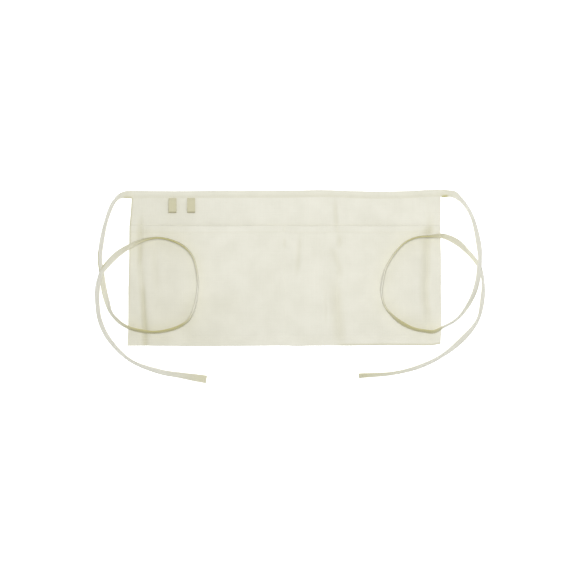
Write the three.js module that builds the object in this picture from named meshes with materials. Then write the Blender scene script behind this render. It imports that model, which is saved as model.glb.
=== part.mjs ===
// Canvas waist apron, laid flat with its front up and its two ties looped over the pockets.
//
// Millimetres. +X runs along the waistband, +Y from the bottom hem to the waistband, and +Z up
// from the surface that the apron lies on. The origin is the middle of the apron's own footprint
// (the ties left out), on that surface.
//
// Pieces: the apron panel, the pocket panel sewn to it in three pockets, the waistband folded over
// the panel's top edge, two folded tape loops under the waistband, and a tie at each waistband end.

import * as THREE from "three";

// Cloth
const CANVAS = 1.2; // thickness of one layer
const SEAM_GAP = 0.3; // clearance between pieces that are sewn or laid together

// Apron outline: the side edges, from the waistband down to the bottom corners
const TOP_Y = 125;
const BOTTOM_Y = -126;
const SIDE_EDGES = [
  { y: 125, left: -246.5, right: 253.2 },
  { y: 69, left: -250.6, right: 252.2 },
  { y: 0, left: -252.1, right: 253.2 },
  { y: -98, left: -253.3, right: 254.0 },
  { y: -126, left: -254.2, right: 252.6 },
];
const BOTTOM_WAVES = [
  { x: -120, reach: 120, rise: -1.0 },
  { x: 26, reach: 26, rise: -0.8 },
  { x: 253, reach: 16, rise: 2.8 },
];
const WAVE_FADE = 30; // how far above the bottom edge its waves die out

// Hems of the apron panel, turned to the back, so that the face rises over them
const SIDE_HEM = { width: 22, turn: 4, rise: 1.0 };
const BOTTOM_HEM = { width: 13, turn: 3, rise: 0.8 };

// Waistband: a tape folded over the panel's top edge, which lies a little in waves
const TAPE_WIDTH = 12.7;
const BAND_DEPTH = 13;
const BAND_OVERHANG = 1; // past the panel's side edges
const BAND_HEIGHT = 3 * CANVAS + 2 * SEAM_GAP;
const BAND_LIP_Y = TOP_Y - BAND_DEPTH;
const BAND_STEPS = 30;
const RAMP_STEPS = 3;
const BAND_RAMP = { from: 14, to: 2 }; // distances below the band between which the panel rises into it
const BAND_WAVES = [
  { x: -180, reach: 90, rise: -0.7 },
  { x: 57, reach: 55, rise: 1.0 },
  { x: 155, reach: 75, rise: -1.4 },
  { x: 256, reach: 60, rise: 2.0 },
];

// Pockets: one panel, open along its mouth, sewn down at the sides, the bottom and two seams
const MOUTH_Y = 69;
const MOUTH_SAG = 1.6; // how far a mouth's middle hangs below its seams
const MOUTH_HEM = { width: 11.5, turn: 2, rise: 0.8 };
const POCKETS = [
  { from: -230, to: -1, rise: 10, fullness: 0.72, columns: 16 },
  { from: -1, to: 85, rise: 8.8, fullness: 0.76, columns: 10 },
  { from: 85, to: 231, rise: 9.6, fullness: 0.74, columns: 12 },
];
const POCKET_ROWS = 10; // between the bottom hem and the mouth hem
const BELLY = 0.8; // below 1, the lift starts early above the bottom hem
const TAUT = { across: 1 / 3, up: 1 / 6 }; // shares of a pocket, next to its seams, too taut to fold

// Folds of the pocket cloth, each along a line from its upper to its lower end
const FOLD_FADE = { beyond: 0.25, within: 0.2 }; // shares of a fold's length where its ends die out
const POCKET_FOLDS = [
  { x0: 23, y0: 62, x1: 28, y1: -14, reach: 11, rise: -1.8 }, // valley in the narrow pocket
  { x0: -222, y0: 30, x1: -214, y1: -100, reach: 12, rise: -1.4 }, // crease along the left hem
  { x0: 220, y0: 56, x1: 220, y1: -80, reach: 12, rise: -1.4 }, // crease along the right hem
  { x0: 96, y0: -30, x1: 104, y1: -116, reach: 17, rise: -1.6 }, // dent at the foot of the right seam
  { x0: -112, y0: -14, x1: -62, y1: -58, reach: 24, rise: -1.0 }, // slanting dent in the wide pocket
];

// Folds of the apron panel in the strip between the mouth and the waistband
const PANEL_FOLDS = [
  { x0: 85, y0: 106, x1: 85, y1: 44, reach: 13, rise: 1.5 },
  { x0: 233, y0: 104, x1: 231, y1: 52, reach: 14, rise: 1.0 },
];

// Tape loops: a length of the same tape folded in half, its two ends caught under the waistband
const LOOP_LENGTH = 21;
const LOOP_BORE = 4.9; // clear height inside the fold
const LOOP_NECK = 7; // stretch over which the two layers come together
const LOOP_MEET = { share: 1 / 3, layers: 1.3 }; // inner end of the bore, down the neck and above the back
const LOOP_BEND_SIDES = 6;
const LOOP_ROWS = 5;
const LOOPS = [
  { name: "tool_loop_left", x: -182.2 },
  { name: "tool_loop_right", x: -152.0 },
];

// Ties: folded tape that stands on its outer edge where it curves, its inner edge leaning in
const TIE_THICKNESS = 2.2;
const TIE_EDGE = 0.5; // bevel along the tape's edges
const TIE_CLEARANCE = 0.8; // air under a tie where it lies on the cloth
const TIE_STEPS = 76;
const DRAPE_STEPS = 2; // steps either side over which a tie bridges a ledge below it
const CROSSING_REACH = 62; // length either side of a crossing over which the upper strand rises
// Where each tie crosses itself, and the half of it, at its root or its end, that lies on top there
const TIES = [
  {
    name: "tie_left",
    turn: 1, // curves to its left all the way
    crossing: { x: -296, y: -10, rise: 12, onTop: "end" },
    route: [
      { x: -248.2, y: 118.6, lean: 0 },
      { x: -257, y: 118.8, lean: 24 },
      { x: -266, y: 116.8, lean: 48 },
      { x: -273.5, y: 110.8, lean: 64 },
      { x: -279.6, y: 102.2, lean: 71 },
      { x: -289.3, y: 74.2, lean: 73 },
      { x: -296.4, y: 40, lean: 66 },
      { x: -298.2, y: 14, lean: 54 },
      { x: -295.8, y: -10, lean: 40 },
      { x: -291.9, y: -34.3, lean: 48 },
      { x: -287.2, y: -54, lean: 58 },
      { x: -280.5, y: -73, lean: 71 },
      { x: -266.7, y: -88.8, lean: 76 },
      { x: -250.5, y: -97, lean: 77 },
      { x: -230, y: -102.3, lean: 77 },
      { x: -210, y: -104, lean: 77 },
      { x: -191, y: -101.6, lean: 77 },
      { x: -172, y: -95, lean: 77 },
      { x: -155.5, y: -83.8, lean: 78 },
      { x: -146, y: -67, lean: 78 },
      { x: -141.9, y: -45.7, lean: 79 },
      { x: -140.3, y: -24.6, lean: 80 },
      { x: -142.2, y: -4, lean: 79 },
      { x: -147.5, y: 16, lean: 78 },
      { x: -159.7, y: 32.9, lean: 77 },
      { x: -179, y: 44.6, lean: 75 },
      { x: -204, y: 48.8, lean: 72 },
      { x: -228, y: 45, lean: 64 },
      { x: -250.5, y: 34.8, lean: 50 },
      { x: -270, y: 22.6, lean: 46 },
      { x: -286.1, y: 6.3, lean: 44 },
      { x: -296.1, y: -10, lean: 44 },
      { x: -302.3, y: -34, lean: 62 },
      { x: -303.4, y: -56, lean: 69 },
      { x: -298.4, y: -84.6, lean: 67 },
      { x: -284.5, y: -114.4, lean: 69 },
      { x: -249.5, y: -149.4, lean: 75 },
      { x: -202, y: -168, lean: 64 },
      { x: -168, y: -173.8, lean: 50 },
      { x: -126.5, y: -181.1, lean: 18 },
    ],
  },
  {
    name: "tie_right",
    turn: -1, // curves to its right all the way
    crossing: { x: 315.4, y: -1, rise: 13.6, onTop: "root" },
    route: [
      { x: 254.8, y: 120.4, lean: 0 },
      { x: 264.7, y: 120.9, lean: 22 },
      { x: 274, y: 119, lean: 44 },
      { x: 281.5, y: 113.8, lean: 64 },
      { x: 290.6, y: 103.4, lean: 73 },
      { x: 302.5, y: 84, lean: 78 },
      { x: 310.6, y: 60, lean: 75 },
      { x: 315, y: 34, lean: 66 },
      { x: 316, y: 14, lean: 48 },
      { x: 315.2, y: -2, lean: 40 },
      { x: 311.6, y: -22, lean: 50 },
      { x: 304.5, y: -45, lean: 66 },
      { x: 291.4, y: -68.4, lean: 76 },
      { x: 275.7, y: -84.4, lean: 82 },
      { x: 258, y: -96, lean: 84 },
      { x: 241, y: -103.2, lean: 82 },
      { x: 226, y: -102.6, lean: 80 },
      { x: 208, y: -98, lean: 78 },
      { x: 190, y: -88.6, lean: 78 },
      { x: 174, y: -75.2, lean: 78 },
      { x: 163, y: -60, lean: 79 },
      { x: 157.4, y: -39, lean: 80 },
      { x: 158.6, y: -16, lean: 80 },
      { x: 166, y: 5, lean: 79 },
      { x: 179, y: 26, lean: 78 },
      { x: 195, y: 42, lean: 76 },
      { x: 214, y: 49.8, lean: 72 },
      { x: 234, y: 52, lean: 65 },
      { x: 255, y: 51.8, lean: 57 },
      { x: 277.5, y: 42.4, lean: 54 },
      { x: 294, y: 28.2, lean: 54 },
      { x: 306.5, y: 13.6, lean: 46 },
      { x: 316, y: -2.4, lean: 44 },
      { x: 321.8, y: -24, lean: 64 },
      { x: 320.6, y: -48, lean: 72 },
      { x: 312.6, y: -84, lean: 76 },
      { x: 290, y: -113, lean: 66 },
      { x: 255.5, y: -141.3, lean: 72 },
      { x: 219.3, y: -159.1, lean: 74 },
      { x: 177, y: -170.4, lean: 74 },
      { x: 119.7, y: -174.8, lean: 56 },
    ],
  },
];

// Finishes
const CANVAS_LOOK = { color: 0xe6e4d4, roughness: 0.92, metalness: 0 };
const TAPE_LOOK = { color: 0xd6d2b8, roughness: 0.9, metalness: 0 };

const { lerp, smoothstep, degToRad, clamp } = THREE.MathUtils;

/** Evenly spaced values from one end to the other, both included. */
const spread = (from, to, steps) =>
  Array.from({ length: steps + 1 }, (_, i) => lerp(from, to, i / steps));

/** 1 at a distance of 0, falling smoothly to 0 at the reach. */
const hump = (distance, reach) => 1 - smoothstep(Math.abs(distance), 0, reach);

/** Sum of the waves of an edge at a place along it. */
const wavesAt = (waves, x) =>
  waves.reduce((sum, wave) => sum + wave.rise * hump(x - wave.x, wave.reach), 0);

/** A hem's extra height: all of it from the edge across the hem, then down over its turn. */
const hemRise = (fromEdge, hem) =>
  hem.rise * (1 - smoothstep(fromEdge, hem.width, hem.width + hem.turn));

/** One column of the side edge table at a height, between the rows above and below it. */
function sideEdge(side, y) {
  const next = SIDE_EDGES.findIndex((row) => row.y <= y);
  const lower = SIDE_EDGES[next < 0 ? SIDE_EDGES.length - 1 : Math.max(next, 1)];
  const upper = SIDE_EDGES[SIDE_EDGES.indexOf(lower) - 1];
  return lerp(lower[side], upper[side], clamp((y - lower.y) / (upper.y - lower.y), 0, 1));
}

const fromSide = (x, y) => Math.min(x - sideEdge("left", y), sideEdge("right", y) - x);

/** Height of all folds at a place: full along each fold's line, fading at its ends and sides. */
function foldsLift(folds, x, y) {
  return folds.reduce((sum, fold) => {
    const along = (fold.y0 - y) / (fold.y0 - fold.y1);
    const across = x - lerp(fold.x0, fold.x1, along);
    const { beyond, within } = FOLD_FADE;
    const started = smoothstep(along, -beyond, within);
    const ended = smoothstep(along, 1 - within, 1 + beyond);
    return sum + fold.rise * (started - ended) * hump(across, fold.reach);
  }, 0);
}

/** The waistband's upper edge. */
const bandTop = (x) => TOP_Y + wavesAt(BAND_WAVES, x);

/** 0 in the open cloth, 1 where the apron panel has risen into the waistband. */
const intoBand = (y) => smoothstep(y, BAND_LIP_Y - BAND_RAMP.from, BAND_LIP_Y - BAND_RAMP.to);

/** Underside of the apron panel: on the surface, rising over its folds and into the waistband. */
function panelUnder(x, y) {
  const band = intoBand(y);
  return band * (CANVAS + SEAM_GAP) + (1 - band) * foldsLift(PANEL_FOLDS, x, y);
}

/** Face of the apron panel, thicker over the side and bottom hems below the waistband. */
function panelFace(x, y) {
  const hems = Math.max(hemRise(fromSide(x, y), SIDE_HEM), hemRise(y - BOTTOM_Y, BOTTOM_HEM));
  return panelUnder(x, y) + CANVAS + (1 - intoBand(y)) * hems;
}

const pocketAt = (x) => POCKETS.find(({ from, to }) => x > from && x < to);

/** 0 at a pocket's two seams, 1 half way between them. */
const acrossPocket = ({ from, to }, x) => Math.sin((Math.PI * (x - from)) / (to - from));

/** How far the pocket cloth stands off the apron panel: nothing at a seam, most at a mouth. */
function pocketLift(x, y) {
  const pocket = pocketAt(x);
  if (!pocket) return 0;
  const hemTop = BOTTOM_Y + BOTTOM_HEM.width;
  const across = acrossPocket(pocket, x);
  const up = clamp((y - hemTop) / (MOUTH_Y - hemTop), 0, 1);
  const body = pocket.rise * across ** pocket.fullness * Math.sin((Math.PI / 2) * up ** BELLY);
  const loose = Math.min(1, across / TAUT.across) * Math.min(1, up / TAUT.up);
  return Math.max(0, body + loose * foldsLift(POCKET_FOLDS, x, y));
}

/** Underside of the pocket panel. */
const pocketUnder = (x, y) => panelFace(x, y) + SEAM_GAP + pocketLift(x, y);

/** Face of the pocket panel, two layers thick along the mouth hem. */
const pocketFace = (x, y) => pocketUnder(x, y) + CANVAS + hemRise(MOUTH_Y - y, MOUTH_HEM);

/** How far the pocket panel's cloth hangs down at a place: most in the middle of a mouth. */
function mouthSag(x, y) {
  const pocket = pocketAt(x);
  return pocket ? MOUTH_SAG * acrossPocket(pocket, x) * smoothstep(y, 0, MOUTH_Y) : 0;
}

/** How far the bottom edge's waves move the cloth up or down at a place. */
const bottomWave = (x, y) => wavesAt(BOTTOM_WAVES, x) * hump(y - BOTTOM_Y, WAVE_FADE);

/** Top of whatever lies at a place: pocket panel, apron panel or the bare surface. */
function restHeight(x, y) {
  if (y < BOTTOM_Y || y > TOP_Y || fromSide(x, y) < 0) return 0;
  return y < MOUTH_Y ? pocketFace(x, y) : panelFace(x, y);
}

function indexedGeometry(points, index) {
  const geometry = new THREE.BufferGeometry().setFromPoints(points);
  geometry.setIndex(index);
  geometry.computeVertexNormals();
  return geometry;
}

/** A closed solid between two grids of points, rows from low to high y and columns along +x. */
function slabGeometry(face, under) {
  const [rows, columns] = [face.length, face[0].length];
  const at = (side, row, column) => (side * rows + row) * columns + column;
  const index = [];
  const quad = (a, b, c, d) => index.push(a, b, c, a, c, d);
  const [top, right] = [rows - 1, columns - 1];
  for (let r = 0; r < top; r++) {
    for (let c = 0; c < right; c++) {
      quad(at(0, r, c), at(0, r, c + 1), at(0, r + 1, c + 1), at(0, r + 1, c));
      quad(at(1, r, c), at(1, r + 1, c), at(1, r + 1, c + 1), at(1, r, c + 1));
    }
    quad(at(0, r, 0), at(0, r + 1, 0), at(1, r + 1, 0), at(1, r, 0));
    quad(at(1, r, right), at(1, r + 1, right), at(0, r + 1, right), at(0, r, right));
  }
  for (let c = 0; c < right; c++) {
    quad(at(1, 0, c), at(1, 0, c + 1), at(0, 0, c + 1), at(0, 0, c));
    quad(at(0, top, c), at(0, top, c + 1), at(1, top, c + 1), at(1, top, c));
  }
  return indexedGeometry([...face.flat(), ...under.flat()], index);
}

/** A closed solid through rings of points, each ring the same profile placed along a line. */
function loftGeometry(profile, rings) {
  const sides = profile.length;
  const index = [];
  for (let r = 0; r < rings.length - 1; r++) {
    for (let s = 0; s < sides; s++) {
      const [a, b] = [r * sides + s, r * sides + ((s + 1) % sides)];
      index.push(a, b, b + sides, a, b + sides, a + sides);
    }
  }
  const last = (rings.length - 1) * sides;
  for (const [a, b, c] of THREE.ShapeUtils.triangulateShape(profile, [])) {
    index.push(a, c, b, last + a, last + b, last + c);
  }
  return indexedGeometry(rings.flat(), index);
}

function makeMesh(name, geometry, look) {
  const mesh = new THREE.Mesh(geometry, new THREE.MeshStandardMaterial(look));
  mesh.name = name;
  return mesh;
}

/** Cloth columns at a height: the two edges and the steps of each pocket, so seams stay crisp. */
function clothColumns(y) {
  const steps = POCKETS.flatMap(({ from, to, columns }) => spread(from, to, columns).slice(0, -1));
  return [sideEdge("left", y), ...steps, POCKETS.at(-1).to, sideEdge("right", y)];
}

/** Cloth rows up to the pocket mouth: the bottom hem, the open cloth and the mouth hem. */
function pocketRows() {
  const hemTop = BOTTOM_Y + BOTTOM_HEM.width;
  const mouthHem = MOUTH_Y - MOUTH_HEM.width;
  const open = spread(hemTop + BOTTOM_HEM.turn, mouthHem - MOUTH_HEM.turn, POCKET_ROWS);
  return [BOTTOM_Y, hemTop, ...open, mouthHem, MOUTH_Y];
}

/** A panel's grid of points: one row of columns for each y, with its own place and height. */
const clothGrid = (rows, placeY, heightZ) =>
  rows.map((row) =>
    clothColumns(row).map((x) => new THREE.Vector3(x, placeY(x, row), heightZ(x, row))),
  );

/** The apron panel: one sheet from hem to hem, its top edge inside the waistband's fold. */
function makeApronPanel() {
  const tuckedEdge = TOP_Y - CANVAS - SEAM_GAP;
  const ramp = spread(BAND_LIP_Y - BAND_RAMP.from, BAND_LIP_Y - BAND_RAMP.to, RAMP_STEPS);
  const rows = [...pocketRows(), (MOUTH_Y + ramp[0]) / 2, ...ramp, tuckedEdge];
  const placeY = (x, row) =>
    row + bottomWave(x, row) + wavesAt(BAND_WAVES, x) * smoothstep(row, MOUTH_Y, BAND_LIP_Y);
  const face = clothGrid(rows, placeY, panelFace);
  const under = clothGrid(rows, placeY, panelUnder);
  return makeMesh("apron_panel", slabGeometry(face, under), CANVAS_LOOK);
}

/** The pocket panel: on the same columns and rows as the apron panel, one seam gap above it. */
function makePocketPanel() {
  const placeY = (x, row) => row + bottomWave(x, row) - mouthSag(x, row);
  const face = clothGrid(pocketRows(), placeY, pocketFace);
  const under = clothGrid(pocketRows(), placeY, pocketUnder);
  return makeMesh("pocket_panel", slabGeometry(face, under), CANVAS_LOOK);
}

/** The waistband: a tape folded over the panel's top edge, one layer behind it and one in front. */
function makeWaistband() {
  const [tall, deep] = [BAND_HEIGHT, BAND_DEPTH];
  const profile = [
    [-deep, 0],
    [-CANVAS, 0],
    [0, CANVAS],
    [0, tall - CANVAS],
    [-CANVAS, tall],
    [-deep, tall],
    [-deep, tall - CANVAS],
    [-CANVAS, tall - CANVAS],
    [-CANVAS, CANVAS],
    [-deep, CANVAS],
  ].map(([down, up]) => new THREE.Vector2(down, up));
  const from = sideEdge("left", TOP_Y) - BAND_OVERHANG;
  const to = sideEdge("right", TOP_Y) + BAND_OVERHANG;
  const rings = spread(from, to, BAND_STEPS).map((x) =>
    profile.map(({ x: down, y: up }) => new THREE.Vector3(x, bandTop(x) + down, up)),
  );
  return makeMesh("waistband", loftGeometry(profile, rings), TAPE_LOOK);
}

/** A loop of tape, folded at its lower end and closed at the waistband: a shape seen along +X. */
function makeToolLoop({ name, x }) {
  const radius = { outer: LOOP_BORE / 2 + CANVAS, inner: LOOP_BORE / 2 };
  const topY = bandTop(x) - BAND_DEPTH - SEAM_GAP;
  const neckY = topY - LOOP_NECK;
  const bendY = topY - LOOP_LENGTH + radius.outer;
  const under = (y) => panelFace(x, y) + SEAM_GAP;
  const bendZ = under(bendY) + radius.outer;
  const points = (from, to, heightZ) =>
    spread(from, to, LOOP_ROWS).map((y) => new THREE.Vector2(y, heightZ(y)));
  const bend = (r) =>
    spread(Math.PI / 2, (3 * Math.PI) / 2, LOOP_BEND_SIDES).map(
      (angle) => new THREE.Vector2(bendY + r * Math.cos(angle), bendZ + r * Math.sin(angle)),
    );
  const front = points(neckY, bendY, (y) => under(y) + 2 * radius.outer);
  const closed = new THREE.Vector2(topY, under(topY) + 2 * CANVAS);
  const shape = new THREE.Shape([
    closed,
    ...front,
    ...bend(radius.outer).slice(1, -1),
    ...points(bendY, topY, under),
  ]);
  const meetY = topY - LOOP_MEET.share * LOOP_NECK;
  const meet = new THREE.Vector2(meetY, under(meetY) + LOOP_MEET.layers * CANVAS);
  const bore = new THREE.Path([
    meet,
    ...points(neckY, bendY, (y) => under(y) + 2 * radius.outer - CANVAS),
    ...bend(radius.inner).slice(1, -1),
    ...points(bendY, neckY, (y) => under(y) + CANVAS),
  ]);
  shape.holes.push(bore);
  const solid = new THREE.ExtrudeGeometry(shape, { depth: TAPE_WIDTH, bevelEnabled: false });
  const mesh = makeMesh(name, solid, TAPE_LOOK);
  const cycle = new THREE.Vector3(1, 1, 1).normalize(); // shape x to +Y, shape y to +Z, depth to +X
  mesh.quaternion.setFromAxisAngle(cycle, (2 * Math.PI) / 3);
  mesh.position.x = x - TAPE_WIDTH / 2;
  return mesh;
}

/** Bridges dips: each value's largest near neighbour, averaged, so never below the value itself. */
function drape(values, reach) {
  const near = (list, i) => list.slice(Math.max(0, i - reach), i + reach + 1);
  const mean = (list) => list.reduce((sum, value) => sum + value, 0) / list.length;
  const highest = values.map((_, i) => Math.max(...near(values, i)));
  return highest.map((_, i) => mean(near(highest, i)));
}

/** A tie: flat tape along its route, leaning in by each row's angle, at rest on what is below. */
function makeTie({ name, turn, crossing, route }) {
  const half = { wide: TAPE_WIDTH / 2, thick: TIE_THICKNESS / 2 };
  const up = new THREE.Vector3(0, 0, 1);
  const curve = new THREE.CatmullRomCurve3(
    route.map(({ x, y, lean }) => new THREE.Vector3(x, y, degToRad(lean))),
  );
  const stations = spread(0, 1, TIE_STEPS).map((t) => {
    const { x, y, z: lean } = curve.getPoint(t);
    const heading = curve.getTangent(t);
    const inward = new THREE.Vector3(-heading.y, heading.x, 0).normalize().multiplyScalar(turn);
    return { t, x, y, lean, inward };
  });
  const rests = stations.map(({ x, y, lean, inward }) =>
    Math.max(
      ...[-half.wide, 0].map((wide) => {
        const aside = wide * Math.cos(lean);
        return restHeight(x + aside * inward.x, y + aside * inward.y);
      }),
    ),
  );
  const draped = drape(rests, DRAPE_STEPS);
  const [edge, flat] = [half.wide - TIE_EDGE, half.thick - TIE_EDGE];
  const profile = [
    [-half.wide, -flat],
    [-edge, -half.thick],
    [edge, -half.thick],
    [half.wide, -flat],
    [half.wide, flat],
    [edge, half.thick],
    [-edge, half.thick],
    [-half.wide, flat],
  ].map(([wide, thick]) => new THREE.Vector2(wide, thick));
  const rings = stations.map(({ t, x, y, lean, inward }, i) => {
    const upperStrand = crossing.onTop === "root" ? t < 0.5 : t > 0.5;
    const fromCrossing = Math.hypot(x - crossing.x, y - crossing.y);
    const over = upperStrand ? crossing.rise * hump(fromCrossing, CROSSING_REACH) : 0;
    const [cos, sin] = [Math.cos(lean), Math.sin(lean)];
    const lowest = draped[i] + (draped[i] > 0 ? TIE_CLEARANCE : 0) + over;
    const middle = new THREE.Vector3(x, y, lowest + half.wide * sin + half.thick * cos);
    const width = inward.clone().multiplyScalar(cos).addScaledVector(up, sin);
    const depth = up.clone().multiplyScalar(cos).addScaledVector(inward, -sin);
    return profile.map(({ x: wide, y: thick }) =>
      middle.clone().addScaledVector(width, wide).addScaledVector(depth, thick),
    );
  });
  return makeMesh(name, loftGeometry(profile, turn > 0 ? rings : rings.reverse()), TAPE_LOOK);
}

const apron = new THREE.Group();
apron.add(makeApronPanel(), makePocketPanel(), makeWaistband());
apron.add(...LOOPS.map(makeToolLoop), ...TIES.map(makeTie));

export default apron;
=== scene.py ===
"""Dresses a canvas waist apron that lies flat, front up, with its two ties looped over the pockets.

Metres, in the frame of the solids: +X along the waistband, +Y from the bottom hem to the waistband, +Z up
from the surface that the apron lies on. The cloth is worked out in cut coordinates, u across the apron and
v up it, as the panels were before they were sewn, and then placed as it lies.
"""

import logging
import math
from dataclasses import dataclass, field, replace
from enum import Enum
from typing import ClassVar, NamedTuple

import bpy
import numpy as np
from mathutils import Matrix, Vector


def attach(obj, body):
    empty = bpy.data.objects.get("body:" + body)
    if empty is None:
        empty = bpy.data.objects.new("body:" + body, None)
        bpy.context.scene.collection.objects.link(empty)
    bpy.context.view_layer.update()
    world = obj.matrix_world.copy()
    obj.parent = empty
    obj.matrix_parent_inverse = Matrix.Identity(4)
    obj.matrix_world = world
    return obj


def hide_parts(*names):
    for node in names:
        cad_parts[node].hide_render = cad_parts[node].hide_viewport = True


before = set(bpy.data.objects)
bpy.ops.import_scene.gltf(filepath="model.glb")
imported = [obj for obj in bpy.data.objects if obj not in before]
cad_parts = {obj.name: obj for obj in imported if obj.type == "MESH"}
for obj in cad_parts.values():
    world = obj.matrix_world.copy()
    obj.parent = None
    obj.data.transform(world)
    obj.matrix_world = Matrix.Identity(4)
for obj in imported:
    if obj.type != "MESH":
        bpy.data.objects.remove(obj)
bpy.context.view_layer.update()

LOG = logging.getLogger("waist_apron")
BODY = "root"
TAPE_MAP = "lengthways"  # a tape's own map, along it and across it
EDGE_MASK = "edge"  # the points on folds and rims
DARKENING_MASK = "soil"  # how much each point is darkened, mostly by painted shade and painted shadow
LATTICE = 64  # cells of a ripple before it repeats
FADE_BEYOND = 0.25  # share of a fold's length, past each end, where it dies out
FADE_WITHIN = 0.2  # share of a fold's length, before each end, where it starts to
CREASE_TAIL = 0.2  # share of a crease's fade that lies past its ends
LEAST_SPACING = 0.00017  # between two grid lines of a cloth
SHARP_ANGLE = math.radians(55.0)  # faces that meet at more than this keep a sharp edge
Array = np.ndarray
Span = tuple[float, float]
Colour = tuple[float, float, float]


def smooth(value: Array, low: float, high: float) -> Array:
    """Returns 0 below low and 1 above high, with a smooth step between them."""
    share = np.clip((np.asarray(value) - low) / (high - low), 0.0, 1.0)
    return share * share * (3.0 - 2.0 * share)


def hump(distance: Array, reach: float) -> Array:
    """Returns 1 at a distance of 0, falling smoothly to 0 at the reach."""
    return 1.0 - smooth(np.abs(distance), 0.0, reach)


def unit(vectors: Array) -> Array:
    """Returns each row's vector at a length of 1."""
    return vectors / np.linalg.norm(vectors, axis=-1, keepdims=True)


def walk(points: Array) -> Array:
    """Returns the length walked along a line of points to each of them."""
    return np.concatenate([[0.0], np.cumsum(np.linalg.norm(np.diff(points, axis=0), axis=1))])


@dataclass(frozen=True)
class Ripple:
    """Smooth seeded unevenness, from 0 to its height, over the cut."""

    seed: int
    wavelength: float
    height: float

    def at(self, u: Array, v: Array) -> Array:
        """Works out the unevenness at places of the cut.

        Args:
            u: Places across the apron.
            v: Places up the apron.

        Returns:
            A height for each place.
        """
        corners = np.random.default_rng(self.seed).uniform(0.0, 1.0, (LATTICE, LATTICE))
        across, up = np.broadcast_arrays(np.asarray(u) / self.wavelength, np.asarray(v) / self.wavelength)
        column, row = np.floor(across).astype(int), np.floor(up).astype(int)
        right, above = smooth(across - column, 0.0, 1.0), smooth(up - row, 0.0, 1.0)
        lower, upper = (
            corners[line % LATTICE, column % LATTICE] * (1.0 - right)
            + corners[line % LATTICE, (column + 1) % LATTICE] * right
            for line in (row, row + 1)
        )
        return self.height * (lower * (1.0 - above) + upper * above)


class Wave(NamedTuple):
    """A low wave of an edge: its middle, how far it reaches and how far it moves the edge."""

    u: float
    reach: float
    rise: float


class EdgeRow(NamedTuple):
    """The two side edges as they lie at one height of the apron."""

    v: float
    left: float
    right: float


class Fold(NamedTuple):
    """A soft fold along a line from its upper end to its lower end."""

    u0: float
    v0: float
    u1: float
    v1: float
    reach: float
    rise: float

    def lift(self, u: Array, v: Array) -> Array:
        """Works out the fold's height, full along its line and fading at its ends and sides.

        Args:
            u: Places across the apron.
            v: Places up the apron.

        Returns:
            A height for each place.
        """
        along = (self.v0 - v) / (self.v0 - self.v1)
        across = u - (self.u0 + (self.u1 - self.u0) * along)
        present = smooth(along, -FADE_BEYOND, FADE_WITHIN)
        present = present - smooth(along, 1.0 - FADE_WITHIN, 1.0 + FADE_BEYOND)
        return self.rise * present * hump(across, self.reach)


class Shoulder(NamedTuple):
    """The cloth beside a valley: how high it rises, how far off it is highest and how far it falls beyond."""

    rise: float
    reach: float
    fall: float

    def height(self, distance: Array) -> Array:
        """Returns the shoulder's height at a distance from the valley."""
        climb = 1.0 - (1.0 - np.minimum(distance / self.reach, 1.0)) ** 2
        return self.rise * climb * (1.0 - smooth(distance, self.reach, self.reach + self.fall))


def both(rise: float, reach: float, fall: float) -> tuple[Shoulder, Shoulder]:
    """Returns two like shoulders, for a valley whose sides are the same."""
    return Shoulder(rise, reach, fall), Shoulder(rise, reach, fall)


class Crease(NamedTuple):
    """A valley between two round shoulders, along a route of places from its upper to its lower end."""

    route: tuple[Span, ...]
    left: Shoulder
    right: Shoulder
    fade: float = 0.026
    # painted shade along the valley, darkest at its middle
    soil: float = 0.0
    core: float = 0.0016

    def across(self, u: Array, v: Array) -> Array:
        """Returns the distance to the right of the valley."""
        places, heights = np.array(self.route[::-1]).T
        return u - np.interp(v, heights, places)

    def present(self, v: Array) -> Array:
        """Works out where the crease is.

        Args:
            v: Places up the apron.

        Returns:
            1 along the valley, fading to 0 past its ends.
        """
        low, high, tail = self.route[-1][1], self.route[0][1], CREASE_TAIL * self.fade
        begun = smooth(v, low - tail, low + self.fade)
        return np.maximum(begun - smooth(v, high - self.fade, high + tail), 0.0)

    def lift(self, u: Array, v: Array) -> Array:
        """Works out the height of the crease's shoulders.

        Args:
            u: Places across the apron.
            v: Places up the apron.

        Returns:
            A height for each place.
        """
        across = self.across(u, v)
        distance = np.hypot(across, self.core) - self.core
        sides = np.where(across < 0.0, self.left.height(distance), self.right.height(distance))
        return self.present(v) * sides

    def darkened(self, u: Array, v: Array) -> Array:
        """Works out how much painted shade darkens the valley, most along its middle.

        Args:
            u: Places across the apron.
            v: Places up the apron.

        Returns:
            A share for each place.
        """
        across = self.across(u, v)
        reach = np.where(across < 0.0, self.left.reach, self.right.reach)
        return self.soil * self.present(v) * hump(across / reach, 1.0)


class Hem(NamedTuple):
    """A turned edge: its width, the ledge at its inner side and the height that its layers add."""

    width: float
    ledge: float
    rise: float

    def height(self, from_edge: Array) -> Array:
        """Returns the hem's extra height at a distance from the edge."""
        return self.rise * (1.0 - smooth(from_edge, self.width, self.width + self.ledge))


class Pocket(NamedTuple):
    """One pocket between two upright seams: how far its mouth stands open and how full its sides are."""

    left: float
    right: float
    rise: float
    fullness: float

    def across(self, u: Array) -> Array:
        """Returns 0 at the two seams and outside them, and 1 half way between them."""
        share = np.clip((u - self.left) / (self.right - self.left), 0.0, 1.0)
        return np.abs(np.sin(math.pi * share))


class Run(Enum):
    """Which way a seam runs over the cut."""

    ACROSS = "across"
    UP = "up"


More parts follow.
